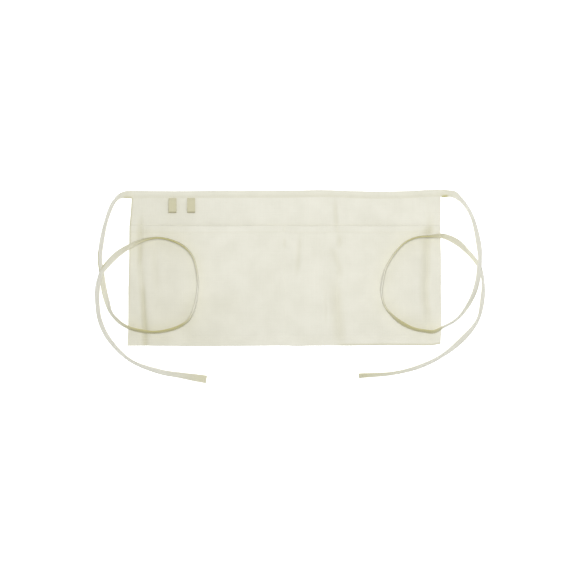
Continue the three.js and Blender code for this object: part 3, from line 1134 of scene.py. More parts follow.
@dataclass(frozen=True)
class ClothFinish(Finish):
    """Natural cotton cloth: its tones, its weave and how its fibres catch the light."""

    light: Colour
    dark: Colour
    fleck: Colour
    worn: Colour
    grain: Grain
    pitch: float
    relief: float
    # the colour that the darkening mask multiplies in, as painted shade and painted shadow
    darkened: Colour
    # the Height share makes the low places between the yarns darker: painted shade
    tones: tuple[tuple[str, float], ...] = (("Yarn", 0.16), ("Height", 0.20), ("Slub", 0.20), ("Cloud", 0.44))
    flecked: float = 0.30
    rubbed: float = 0.6
    roughness: float = 0.86
    hollow_roughness: float = 0.10  # how much rougher the cloth is between its yarns
    specular: float = 0.25
    sheen: float = 0.25
    sheen_roughness: float = 0.45
    depth: float = 0.4  # of the weave, to its pitch
    slub_height: float = 0.4  # to the yarns' own

    def mix_material(self) -> bpy.types.Material:
        """Builds the material: toned yarns, slubs, clouds, flecks, rubbed edges, painted shade and a woven
        relief.

        Returns:
            The new material.
        """
        material, board, shader = empty_material(self.name)
        if self.grain is Grain.FRAME:
            vector = board.add("ShaderNodeTexCoord").outputs["Object"]
        else:
            vector = board.add("ShaderNodeUVMap", uv_map=TAPE_MAP).outputs["UV"]
        weave = WEAVE.place(board, Vector=vector, Pitch=self.pitch)
        cotton = COTTON.place(board, Vector=vector)
        edge = board.add("ShaderNodeAttribute", attribute_name=EDGE_MASK)
        wear = WEAR.place(board, Vector=vector, Edge=edge.outputs["Fac"])
        soil = board.add("ShaderNodeAttribute", attribute_name=DARKENING_MASK)
        tone = 0.0
        for label, share in self.tones:
            node = weave if label in WEAVE.outputs else cotton
            tone = board.math("ADD", board.scaled(node.outputs[label], share), tone)
        colour = board.tint(tone, (*self.dark, 1.0), self.light)
        colour = board.tint(board.scaled(cotton.outputs["Fleck"], self.flecked), colour, self.fleck)
        colour = board.tint(board.scaled(wear.outputs["Wear"], self.rubbed), colour, self.worn)
        # painted shade and painted shadow, from the darkening mask
        colour = board.tint(soil.outputs["Fac"], colour, self.darkened, "MULTIPLY")
        board.feed(shader.inputs["Base Color"], colour)
        hollow = board.math("SUBTRACT", 1.0, weave.outputs["Height"])
        board.feed(shader.inputs["Roughness"], board.scaled(hollow, self.hollow_roughness, self.roughness))
        shader.inputs["Specular IOR Level"].default_value = self.specular
        shader.inputs["Sheen Weight"].default_value = self.sheen
        shader.inputs["Sheen Roughness"].default_value = self.sheen_roughness
        slubs = board.scaled(cotton.outputs["Slub"], self.slub_height)
        height = board.math("ADD", weave.outputs["Height"], slubs)
        self.raise_surface(board, shader, height, self.relief, self.depth * self.pitch)
        return material


@dataclass(frozen=True)
class ThreadFinish(Finish):
    """Twisted sewing thread: its tones and its plies."""

    light: Colour
    dark: Colour
    plies: float = 700.0
    ply_wander: float = 1.5
    ply_share: float = 0.3
    lumps: float = 260.0
    lump_share: float = 0.7
    roughness: float = 0.5
    light_roughness: float = 0.2  # how much rougher the light places are
    sheen: float = 0.2
    relief: float = 0.35
    depth: float = 0.0001

    def mix_material(self) -> bpy.types.Material:
        """Builds the material: slanting plies with a soft gloss, uneven from stitch to stitch.

        Returns:
            The new material.
        """
        material, board, shader = empty_material(self.name)
        vector = board.add("ShaderNodeTexCoord").outputs["Object"]
        plies = board.add("ShaderNodeTexWave", bands_direction="DIAGONAL")
        board.feed(plies.inputs["Vector"], vector)
        plies.inputs["Scale"].default_value = self.plies
        plies.inputs["Distortion"].default_value = self.ply_wander
        uneven = board.scaled(board.noise(vector, self.lumps, 2.0), self.lump_share)
        # the plies' stripes are painted shade in the grooves between plies; the lumps are the thread's own
        # uneven tone
        tone = board.math("ADD", board.scaled(plies.outputs["Fac"], self.ply_share), uneven)
        board.feed(shader.inputs["Base Color"], board.tint(tone, (*self.dark, 1.0), self.light))
        board.feed(shader.inputs["Roughness"], board.scaled(tone, self.light_roughness, self.roughness))
        shader.inputs["Sheen Weight"].default_value = self.sheen
        self.raise_surface(board, shader, plies.outputs["Fac"], self.relief, self.depth)
        return material


CANVAS = ClothFinish(
    name="natural_canvas",
    light=(0.830, 0.817, 0.719),
    dark=(0.729, 0.716, 0.612),
    fleck=(0.52, 0.44, 0.30),
    worn=(0.79, 0.777, 0.67),
    grain=Grain.FRAME,
    pitch=0.00055,
    relief=0.55,
    # painted shade and painted shadow: in creases, along edges and over the left side
    darkened=(0.80, 0.785, 0.68),
)
TAPE = ClothFinish(
    name="natural_tape",
    light=(0.815, 0.802, 0.695),
    dark=(0.715, 0.702, 0.595),
    fleck=(0.50, 0.42, 0.29),
    worn=(0.78, 0.766, 0.655),
    grain=Grain.TAPE,
    pitch=0.00050,
    relief=0.5,
    # painted shade where the ties stand on edge over the cloth, and painted shadow at their roots and
    # crossings
    darkened=(0.66, 0.62, 0.30),
)
# the waistband takes the canvas's colour for the painted shadow along its lips
BAND_TAPE = replace(TAPE, name="band_tape", darkened=CANVAS.darkened)
LOOP_TAPE = ClothFinish(
    name="loop_tape",
    light=(0.65, 0.622, 0.435),
    dark=(0.55, 0.524, 0.355),
    fleck=(0.40, 0.32, 0.20),
    worn=(0.70, 0.665, 0.51),
    grain=Grain.TAPE,
    pitch=0.00050,
    relief=0.6,
    # painted shadow along the loop's fold
    darkened=(0.80, 0.78, 0.70),
)
SEWING_THREAD = ThreadFinish("sewing_thread", (0.84, 0.825, 0.715), (0.70, 0.685, 0.57))


class Station(NamedTuple):
    """One section of a stitch: its place along it, its size and how far it stands out of the cloth."""

    along: float
    size: float
    lift: float


@dataclass
class Needlework:
    """Rows of stitches that become one joined piece."""

    name: str
    pitch: float = 0.0031
    length: float = 0.0025
    width: float = 0.00052
    height: float = 0.00034
    seed: int = 11
    rows: list[tuple[Array, Array, Array]] = field(default_factory=list)

    SIDES: ClassVar[int] = 6
    STATIONS: ClassVar[tuple[Station, ...]] = (
        Station(-0.5, 0.25, -0.7),
        Station(-0.34, 0.85, 0.1),
        Station(0.0, 1.0, 0.35),
        Station(0.34, 0.85, 0.1),
        Station(0.5, 0.25, -0.7),
    )

    def sew(self, middles: Array, along: Array, out: Array) -> None:
        """Adds a row of stitches.

        Args:
            middles: The middle of each stitch, on the cloth.
            along: The way that each stitch runs.
            out: The way that the cloth faces there.
        """
        self.rows.append((middles, unit(along), unit(out)))

    def template(self) -> Array:
        """Lays out one stitch as rings of points.

        Returns:
            The points' places along the stitch, across it and out of the cloth.
        """
        turns = np.arange(self.SIDES) * 2.0 * math.pi / self.SIDES
        rings = [(station, angle) for station in self.STATIONS for angle in turns]
        return np.array([(s.along, s.size * math.cos(a), s.size * math.sin(a) + s.lift) for s, a in rings])

    def piece(self) -> bpy.types.Object:
        """Makes the joined piece, each stitch a small rounded length of thread sunk into the cloth.

        Returns:
            The new object, with its finish.
        """
        middles, along, out = (np.vstack(parts) for parts in zip(*self.rows))
        draw = np.random.default_rng(self.seed)
        across = np.cross(out, along)
        slant = draw.normal(0.05, 0.04, (len(middles), 1))
        along, across = along + slant * across, across - slant * along
        stretch = self.length * draw.uniform(0.9, 1.06, (len(middles), 1, 1))
        template = self.template()
        points = middles[:, None, :] + along[:, None, :] * template[None, :, :1] * stretch
        points = points + across[:, None, :] * template[None, :, 1:2] * 0.5 * self.width
        points = points + out[:, None, :] * template[None, :, 2:] * 0.5 * self.height
        single = tube_faces(len(self.STATIONS), self.SIDES)
        size = len(template)
        faces = [[corner + size * i for corner in face] for i in range(len(middles)) for face in single]
        piece = mesh_piece(self.name, points.reshape(-1, 3), faces)
        piece.data.materials.append(SEWING_THREAD.material())
        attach(piece, BODY)
        return piece


class ClothSide(Enum):
    """Which side of a sheet a row of stitches lies on."""

    FACE = 1.0
    BACK = -1.0


def dress(piece: bpy.types.Object, finish: ClothFinish, node: str) -> None:
    """Gives a piece its finish, hangs it on the body and hides the solid that it replaces.

    Args:
        piece: The dressed piece.
        finish: Its finish.
        node: The solid that it replaces.
    """
    piece.data.materials.append(finish.material())
    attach(piece, BODY)
    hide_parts(node)


@dataclass(frozen=True)
class PaintedShading:
    """Where painted shade and painted shadow darken the canvas between its creases: how much, and over which
    places they come and go.
    """

    bottom: float = 0.85  # painted shadow along the right half of the bottom edge
    bottom_reach: float = 0.0048
    bottom_from: Span = (0.075, 0.105)
    rim: float = 0.5  # painted contact shadow along the left edge, and as much again beside the mouth
    rim_reach: float = 0.0040
    rim_low: Span = (-0.080, -0.040)
    rim_high: Span = (0.032, 0.046)
    left: float = 0.12  # painted shade over the left side
    left_more: float = 0.10  # and more towards its bottom
    left_from: Span = (0.100, 0.215)  # to the left of the middle
    left_low: Span = (-0.020, 0.100)  # below the middle
    below: float = 0.05  # painted shade below the mouth, as far as the right hem
    below_to: Span = (0.045, 0.075)
    below_side: Span = (0.234, 0.246)
    patch: float = 0.12  # a patch of painted shade low on the left pocket, measured the same way
    patch_from: Span = (0.060, 0.085)
    patch_to: Span = (0.150, 0.175)
    patch_low: Span = (0.030, 0.060)

    def at(self, cut: ApronCut, u: Array, v: Array) -> Array:
        """Works out how much painted shade and painted shadow darken the canvas.

        Args:
            cut: The apron's cut.
            u: Places across the apron.
            v: Places up the apron.

        Returns:
            A share for each place.
        """
        low = self.bottom * hump(v - cut.bottom, self.bottom_reach) * smooth(u, *self.bottom_from)
        rim = self.rim * smooth(v, *self.rim_low) + self.rim * smooth(v, *self.rim_high)
        edges = np.maximum(low, rim * hump(u - cut.left, self.rim_reach))
        side = smooth(-u, *self.left_from) * (self.left + self.left_more * smooth(-v, *self.left_low))
        below = self.below * (1.0 - smooth(v, *self.below_to)) * (1.0 - smooth(u, *self.below_side))
        patch = self.patch * (smooth(-u, *self.patch_from) - smooth(-u, *self.patch_to))
        return edges + side + below + patch * smooth(-v, *self.patch_low)


@dataclass
class ClothPanel:
    """A panel of canvas on the apron's cut, from which the apron panel and the pocket panel come."""

    cut: ApronCut
    name: str
    node: str
    flat: Span
    spacing: float = 0.0024  # of the grid lines in open cloth
    crisp_columns: tuple[float, ...] = (-0.2365, -0.2262, 0.2290, 0.2370)  # at the side creases
    hem_line: float = 0.0137  # from the bottom edge to the fine rows at its hem's ledge
    rim_round: float = 0.0011
    rim_kept: float = 0.3  # of the thickness, at the very rim
    rubbed: float = 0.0022
    stitch_reach: float = 0.0012  # either side of a stitch, where the cloth's direction is taken
    # painted shade and painted shadow between the creases
    painted_shading: PaintedShading = PaintedShading()

    CREASES: ClassVar[tuple[Crease, ...]] = PANEL_CREASES

    def place(self, u: Array, v: Array) -> tuple[Array, Array]:
        """Returns where places of the cut lie."""
        raise NotImplementedError

    def face(self, u: Array, v: Array) -> Array:
        """Returns the height of the panel's face."""
        raise NotImplementedError

    def under(self, u: Array, v: Array) -> Array:
        """Returns the height of the panel's underside."""
        raise NotImplementedError

    def rows(self) -> Array:
        """Returns the grid lines up the cut."""
        raise NotImplementedError

    def seams(self) -> list[tuple[Seam, ClothSide]]:
        """Returns the rows of stitches and the side that each shows on."""
        raise NotImplementedError

    def columns(self) -> Array:
        """Returns the grid lines across the cut, fine at the side rows, the creases and the dividers."""
        crisp = (*self.cut.side_rows, *self.crisp_columns, *(pocket.left for pocket in POCKETS[1:]))
        return cloth_lines(self.cut.left, self.cut.right, (self.spacing,), crisp)

    def point(self, u: Array, v: Array, side: ClothSide) -> Array:
        """Returns points on one side of the panel, one row each."""
        height = self.face(u, v) if side is ClothSide.FACE else self.under(u, v)
        return np.stack([*self.place(u, v), height], axis=-1)

    def soil(self, u: Array, v: Array) -> Array:
        """Returns how much painted shade and painted shadow darken the panel, in its creases and between
        them.
        """
        creased = sum(crease.darkened(u, v) for crease in self.CREASES)
        return np.clip(self.painted_shading.at(self.cut, u, v) + creased, 0.0, 1.0)

    def build(self) -> bpy.types.Object:
        """Makes the panel with rounded rims and its masks.

        Returns:
            The new object.
        """
        u, v = np.meshgrid(self.columns(), self.rows())
        face, under = self.face(u, v), self.under(u, v)
        middle = 0.5 * (face + under)
        to_rim = np.minimum.reduce([self.cut.from_side(u), v - v[0], v[-1] - v])
        rounding = 1.0 - np.clip(to_rim / self.rim_round, 0.0, 1.0)
        kept = self.rim_kept + (1.0 - self.rim_kept) * np.sqrt(1.0 - rounding**2)
        plan = self.place(u, v)
        top = np.stack([*plan, middle + (face - middle) * kept], axis=-1)
        bottom = np.stack([*plan, middle + (under - middle) * kept], axis=-1)
        piece = shell_piece(self.name, top, bottom)
        # the edge mask for rubbed rims, the darkening mask for painted shade
        for mask, values in ((EDGE_MASK, hump(to_rim, self.rubbed)), (DARKENING_MASK, self.soil(u, v))):
            add_mask(piece, mask, np.tile(values.ravel(), 2))
        return piece

    def stitch(self) -> bpy.types.Object:
        """Sews the panel's rows of stitches.

        Returns:
            The joined stitches.
        """
        work = Needlework(f"{self.name}_stitches")
        for seam, side in self.seams():
            u, v = seam.points(work.pitch)
            du, dv = (self.stitch_reach, 0.0) if seam.run is Run.ACROSS else (0.0, self.stitch_reach)
            along = self.point(u + du, v + dv, side) - self.point(u - du, v - dv, side)
            aside = self.point(u - dv, v + du, side) - self.point(u + dv, v - du, side)
            work.sew(self.point(u, v, side), along, np.cross(along, aside) * side.value)
        return work.piece()

    def make(self, rests_on: list[str]) -> bpy.types.Object:
        """Args:
            rests_on: What the panel lies on. It is not used.

        Returns:
            The panel.
        """
        piece = self.build()
        dress(piece, CANVAS, self.node)
        stitches = self.stitch()
        return piece


@dataclass
class ApronPanel(ClothPanel):
    """The back cloth, hemmed at both sides and along the bottom, its top edge inside the waistband."""

    covered: float = 0.006  # spacing of the rows on the three quarters that the pockets cover
    lip_line: float = 0.002  # from the waistband's lip down to the fine rows beside it

    def place(self, u: Array, v: Array) -> tuple[Array, Array]:
        """Returns where places of the cut lie."""
        return self.cut.place_panel(u, v)

    def face(self, u: Array, v: Array) -> Array:
        """Returns the height of the panel's face."""
        return self.cut.panel_face(u, v)

    def under(self, u: Array, v: Array) -> Array:
        """Returns the height of the panel's underside."""
        return self.cut.panel_under(u, v)

    def rows(self) -> Array:
        """Lays out the grid lines up the cut, coarse where the pockets cover it.

        Returns:
            The lines in order.
        """
        cut = self.cut
        steps = (self.covered, self.covered, self.covered, self.spacing)
        crisp = (cut.bottom + self.hem_line, cut.lip - self.lip_line)
        return cloth_lines(cut.bottom, cut.tucked, steps, crisp)

    def seams(self) -> list[tuple[Seam, ClothSide]]:
        """Lists the side rows above the mouth, and on the back all the rows but the mouth's.

        Returns:
            The rows of stitches and the side that each shows on.
        """
        shown = self.cut.panel_seams()
        back = (*shown, *self.cut.pocket_seams()[1:])
        return [*((seam, ClothSide.FACE) for seam in shown), *((seam, ClothSide.BACK) for seam in back)]


@dataclass
class PocketPanel(ClothPanel):
    """The front cloth, sewn to the apron panel at its sides, its bottom and two upright seams."""

    row_darkening: float = 0.11  # a little darker along the mouth's row of stitches
    row_darkening_reach: float = 0.0022
    tacks: int = 9  # at the top of each divider
    tack_from: float = 0.0015
    tack_pitch: float = 0.0009
    tack_half: float = 0.0026

    CREASES: ClassVar[tuple[Crease, ...]] = PANEL_CREASES + POCKET_CREASES

    def place(self, u: Array, v: Array) -> tuple[Array, Array]:
        """Returns where places of the cut lie."""
        return self.cut.place_pocket(u, v)

    def face(self, u: Array, v: Array) -> Array:
        """Returns the height of the panel's face."""
        return self.cut.pocket_face(u, v)

    def under(self, u: Array, v: Array) -> Array:
        """Returns the height of the panel's underside."""
        return self.cut.pocket_under(u, v)

    def soil(self, u: Array, v: Array) -> Array:
        """Returns how much the panel is darkened: painted shade, and a little more along the mouth's row of
        stitches.
        """
        row = self.row_darkening * hump(v - self.cut.mouth_row, self.row_darkening_reach)
        return np.minimum(super().soil(u, v) + row, 1.0)

    def rows(self) -> Array:
        """Lays out the grid lines up the cut, fine at the hems' ledges and rows.

        Returns:
            The lines in order.
        """
        cut = self.cut
        ledge = cut.mouth - cut.mouth_hem.width - 0.5 * cut.mouth_hem.ledge
        low = [cut.bottom + up for up in (*cut.bottom_rows, self.hem_line)]
        return cloth_lines(cut.bottom, cut.mouth, (self.spacing,), (*low, cut.mouth_row, ledge))

    def seams(self) -> list[tuple[Seam, ClothSide]]:
        """Lists all the rows, the dividers ending in short dense tacks at the mouth.

        Returns:
            The rows of stitches and the side that each shows on.
        """
        heights = [self.cut.mouth - self.tack_from - self.tack_pitch * step for step in range(self.tacks)]
        tacks = [
            Seam(Run.ACROSS, v, pocket.left - self.tack_half, pocket.left + self.tack_half, 0.0)
            for pocket in POCKETS[1:]
            for v in heights
        ]
        return [(seam, ClothSide.FACE) for seam in (*self.cut.pocket_seams(), *tacks)]


@dataclass
class Waistband:
    """The tape folded over the apron panel's top edge, one layer behind it and one in front."""

    cut: ApronCut
    flat: Span = (0.502, 0.027)
    overhang: float = 0.001
    height: float = 0.0042
    wall: float = 0.0010
    ease: float = 0.0001  # air under the tape
    step: float = 0.0024
    straight_steps: int = 8
    turn_steps: int = 8
    taper: tuple[float, ...] = (0.14, 0.30, 0.42)  # half thicknesses from a lip inwards, to the wall
    crown: Ripple = Ripple(17, 0.012, 0.00035)
    crown_across: float = 3.0  # how much closer the crown's ripples are across the tape
    row_above_lip: float = 0.0017
    row_pull: float = 0.00008
    lip_drop: float = 0.0015
    lip_reach: float = 0.0095
    row_drop: float = 0.9  # share of the lip's drop at its row of stitches
    thread: float = 0.0002  # how far thread stands off the tape
    fold_wear: float = 0.7
    # how much darker the whole tape is
    soil: float = 0.06
    # painted shadow along the tape's lips
    lip_shadow: float = 0.24
    lip_shadow_above: float = 0.0015
    lip_shadow_reach: float = 0.0042
    tack_insets: Span = (0.0015, 0.0048)
    tack_span: Span = (0.0105, 0.0015)  # below the band's top
    tack_pitch: float = 0.0014
    tack_slant: float = 0.25

    def profile(self) -> tuple[Array, Array, Array]:
        """Works out the tape's section as a line down the front, round the fold and down the back.

        Returns:
            Places below the fold, heights, and the way out of the fold at each of them.
        """
        radius = 0.5 * (self.height - self.wall) - self.ease
        middle = 0.5 * self.height + self.ease
        round_off = radius + 0.5 * self.wall
        count = self.straight_steps
        straight = np.linspace(1.0, 0.0, count, endpoint=False) * (self.cut.band_depth - round_off)
        turn = np.linspace(0.0, math.pi, self.turn_steps + 1)
        below = np.concatenate([-straight, np.sin(turn) * radius, -straight[::-1]]) - round_off
        out_up = np.concatenate([np.ones(count), np.cos(turn), -np.ones(count)])
        out_below = np.concatenate([np.zeros(count), np.sin(turn), np.zeros(count)])
        return below, out_up * radius + middle, np.column_stack([out_below, out_up])

    def build(self) -> bpy.types.Object:
        """Makes the folded tape along the apron's top edge, in its waves and with puckers at its stitches.

        Returns:
            The new object.
        """
        below, up, out = self.profile()
        depth = self.cut.band_depth
        start, end = SIDE_EDGES[-1].left - self.overhang, SIDE_EDGES[-1].right + self.overhang
        x = np.linspace(start, end, round((end - start) / self.step) + 1)[:, None]
        seam = Seam(Run.ACROSS, self.row_above_lip - depth, start, end, self.row_pull)
        crown = self.crown.at(x, self.crown_across * below[None, :])
        crown = crown - self.lip_drop * hump(below[None, :] + depth, self.lip_reach)
        half = np.full(len(below), 0.5 * self.wall)
        for place, share in enumerate(self.taper):
            half[[place, -1 - place]] = share * self.wall
        front = out[None, :, 1] > 0.5
        sink = seam.press(x, below[None, :]) * out[None, :, 1] * front
        sheets = []
        for side in (1.0, -1.0):
            y = self.cut.band_top(x) + below[None, :] + side * half * out[None, :, 0]
            z = up[None, :] + side * half * out[None, :, 1] + sink + crown * front
            sheets.append(np.stack([np.broadcast_to(x, y.shape), y, z], axis=-1))
        rings = np.concatenate([sheets[0], sheets[1][:, ::-1]], axis=1)
        piece = loft_piece("waistband_tape", rings, inside_out=True)
        self.mark(piece, x, below, up)
        return piece

    def mark(self, piece: bpy.types.Object, x: Array, below: Array, up: Array) -> None:
        """Gives the tape its map and its masks: rubbed at its lips and its fold, darkened a little all over
        and by painted shadow along its lips.

        Args:
            piece: The tape.
            x: The stations along it, one row each.
            below: The section's places below the fold.
            up: The section's heights.
        """
        walked = walk(np.column_stack([below, up]))
        edge = np.zeros(len(below))
        edge[[0, -1]] = 1.0
        edge[len(below) // 2] = self.fold_wear
        # painted shadow along the lips
        lip = hump(below + self.cut.band_depth - self.lip_shadow_above, self.lip_shadow_reach)
        shape = (len(x), 2 * len(below))
        walked, edge, soil = (
            np.broadcast_to(np.concatenate([values, values[::-1]]), shape)
            for values in (walked, edge, self.soil + self.lip_shadow * lip)
        )
        add_lengthways(piece, np.broadcast_to(x, shape), walked)
        add_mask(piece, EDGE_MASK, edge)
        add_mask(piece, DARKENING_MASK, soil)

    def stitch(self) -> bpy.types.Object:
        """Sews the row along the lower lip, front and back, and the tacks at the two ends.

        Returns:
            The joined stitches.
        """
        work = Needlework("waistband_stitches", seed=12)
        cut, start, end = self.cut, SIDE_EDGES[-1].left, SIDE_EDGES[-1].right
        x = np.arange(start, end, work.pitch)
        y = cut.band_top(x) - cut.band_depth + self.row_above_lip
        along = np.column_stack([np.ones_like(x), np.gradient(y, x), np.zeros_like(x)])
        front = self.height - self.lip_drop * self.row_drop - 0.5 * self.thread
        for height, facing in ((front, 1.0), (self.thread, -1.0)):
            out = np.tile([0.0, 0.0, facing], (len(x), 1))
            work.sew(np.column_stack([x, y, np.full_like(x, height)]), along, out)
        low, high = self.tack_span
        for corner, inward in ((start, 1.0), (end, -1.0)):
            y = np.arange(cut.top - low, cut.top - high, self.tack_pitch)
            y = y + cut.band_top(np.array(corner)) - cut.top
            along = np.tile([self.tack_slant, 1.0, 0.0], (len(y), 1))
            out = np.tile([0.0, 0.0, 1.0], (len(y), 1))
            height = np.full_like(y, self.height + self.thread)
            for inset in self.tack_insets:
                work.sew(np.column_stack([np.full_like(y, corner + inward * inset), y, height]), along, out)
        return work.piece()

    def make(self) -> bpy.types.Object:
        """Returns:
            The waistband.
        """
        piece = self.build()
        dress(piece, BAND_TAPE, "waistband")
        stitches = self.stitch()
        return piece


@dataclass
class TapeSweep:
    """A flat tape carried along a line, its section turned as the line's own directions say."""

    middles: Array
    across: Array
    through: Array
    width: float
    thickness: Array

    # Half of the folded tape's section: a round fold, a low crown and a groove between the two raw layers
    SECTION: ClassVar[tuple[Span, ...]] = (
        (1.0, 0.0), (0.985, 0.45), (0.94, 0.8), (0.86, 1.0), (0.3, 1.05), (-0.3, 1.05), (-0.8, 0.97),
        (-0.94, 0.85), (-1.0, 0.55), (-0.985, 0.2), (-0.93, 0.0),
    )
    RUBBED: ClassVar[float] = 0.86  # share of the half width beyond which the tape is rubbed

    def section(self) -> Array:
        """Returns the whole section, the second half mirrored from the first."""
        half = np.array(self.SECTION)
        return np.vstack([half, half[-2:0:-1] * [1.0, -1.0]])

    def build(self, name: str, inside_out: bool) -> bpy.types.Object:
        """Makes the tape with its map and edge mask.

        Args:
            name: The piece's name.
            inside_out: Whether the section runs the other way round the line.

        Returns:
            The new object.
        """
        section = self.section()
        aside = section[None, :, :1] * 0.5 * self.width * self.across[:, None, :]
        off = section[None, :, 1:] * 0.5 * self.thickness[:, None, None] * self.through[:, None, :]
        rings = self.middles[:, None, :] + aside + off
        piece = loft_piece(name, rings, inside_out)
        shape = rings.shape[:2]
        along = np.broadcast_to(walk(self.middles)[:, None], shape)
        add_lengthways(piece, along, np.broadcast_to(section[None, :, 0] * 0.5 * self.width, shape))
        edge = smooth(np.abs(section[None, :, 0]), self.RUBBED, 1.0)
        add_mask(piece, EDGE_MASK, np.broadcast_to(edge, shape))
        return piece

    def at(self, places: Array, share: float, side: ClothSide) -> tuple[Array, Array, Array]:
        """Finds places on the tape's flat sides.

        Args:
            places: Lengths along the tape.
            share: How far across, from -1 to 1.
            side: The tape's face or back.

        Returns:
            The points, the way along the tape and the way out of it.
        """
        walked = walk(self.middles)

        def between(values: Array) -> Array:
            """Returns a station's values at the places."""
            return np.column_stack([np.interp(places, walked, column) for column in values.T])

        out = between(self.through) * side.value
        thickness = np.interp(places, walked, self.thickness)[:, None]
        points = between(self.middles) + between(self.across) * share * 0.5 * self.width
        along = between(np.gradient(self.middles, walked, axis=0))
        return points + out * 0.5 * thickness, along, out


def smooth_line(rows: Array, step: float, fineness: int = 32) -> Array:
    """Draws a smooth line through rows of values, the first two of them a place on the surface.

    Args:
        rows: The rows that the line goes through.
        step: The spacing of the line's stations on the surface.
        fineness: How many steps a stretch between two rows is drawn in.

    Returns:
        Rows of values at the stations.
    """
    ends = np.vstack([2.0 * rows[0] - rows[1], rows, 2.0 * rows[-1] - rows[-2]])
    gaps = np.sqrt(np.linalg.norm(np.diff(ends[:, :2], axis=0), axis=1))
    share = np.linspace(0.0, 1.0, fineness, endpoint=False)[:, None]
    stretches = []
    for i in range(1, len(ends) - 2):
        before, here, there, beyond = ends[i - 1 : i + 3]
        g0, g1, g2 = gaps[i - 1 : i + 2]
        leave = ((here - before) / g0 - (there - before) / (g0 + g1) + (there - here) / g1) * g1
        arrive = ((there - here) / g1 - (beyond - here) / (g1 + g2) + (beyond - there) / g2) * g1
        square, cube = share**2, share**3
        line = here * (2 * cube - 3 * square + 1) + there * (3 * square - 2 * cube)
        stretches.append(line + leave * (cube - 2 * square + share) + arrive * (cube - square))
    dense = np.vstack([*stretches, rows[-1:]])
    walked = walk(dense[:, :2])
    places = np.linspace(0.0, walked[-1], round(walked[-1] / step) + 1)
    return np.column_stack([np.interp(places, walked, column) for column in dense.T])


def bridge(values: Array, reach: int) -> Array:
    """Lays a tape over dips and ledges.

    Args:
        values: The heights below the tape.
        reach: How many neighbours on each side hold it up.

    Returns:
        Each height's largest near neighbour, averaged.
    """
    windows = np.lib.stride_tricks.sliding_window_view
    highest = windows(np.pad(values, reach, mode="edge"), 2 * reach + 1).max(axis=1)
    return windows(np.pad(highest, reach, mode="edge"), 2 * reach + 1).mean(axis=1)


class Half(Enum):
    """A half of a tie: from its root or to its end."""

    ROOT = "root"
    END = "end"


class Turn(Enum):
    """Which way a tie curves, all along it."""

    LEFT = 1.0
    RIGHT = -1.0


class TieEdge(Enum):
    """An edge of a tie, inside its curve or outside."""

    INNER = 1.0
    OUTER = -1.0


class DarkEdge(NamedTuple):
    """A stretch of a tie where painted shadow darkens one edge."""

    start: float
    end: float
    edge: TieEdge
    soil: float
    fade: Span = (0.004, 0.002)  # past its ends and before them
    across: Span = (0.35, 0.9)  # shares of the half width where it comes in

    def at(self, walked: Array, share: Array) -> Array:
        """Works out how much painted shadow darkens the tie.

        Args:
            walked: Lengths along the tie.
            share: Shares of the half width across it.

        Returns:
            The darkening at each place.
        """
        beyond, within = self.fade
        here = smooth(walked, self.start - beyond, self.start + within)
        here = here - smooth(walked, self.end - within, self.end + beyond)
        return self.soil * here * smooth(self.edge.value * share, *self.across)


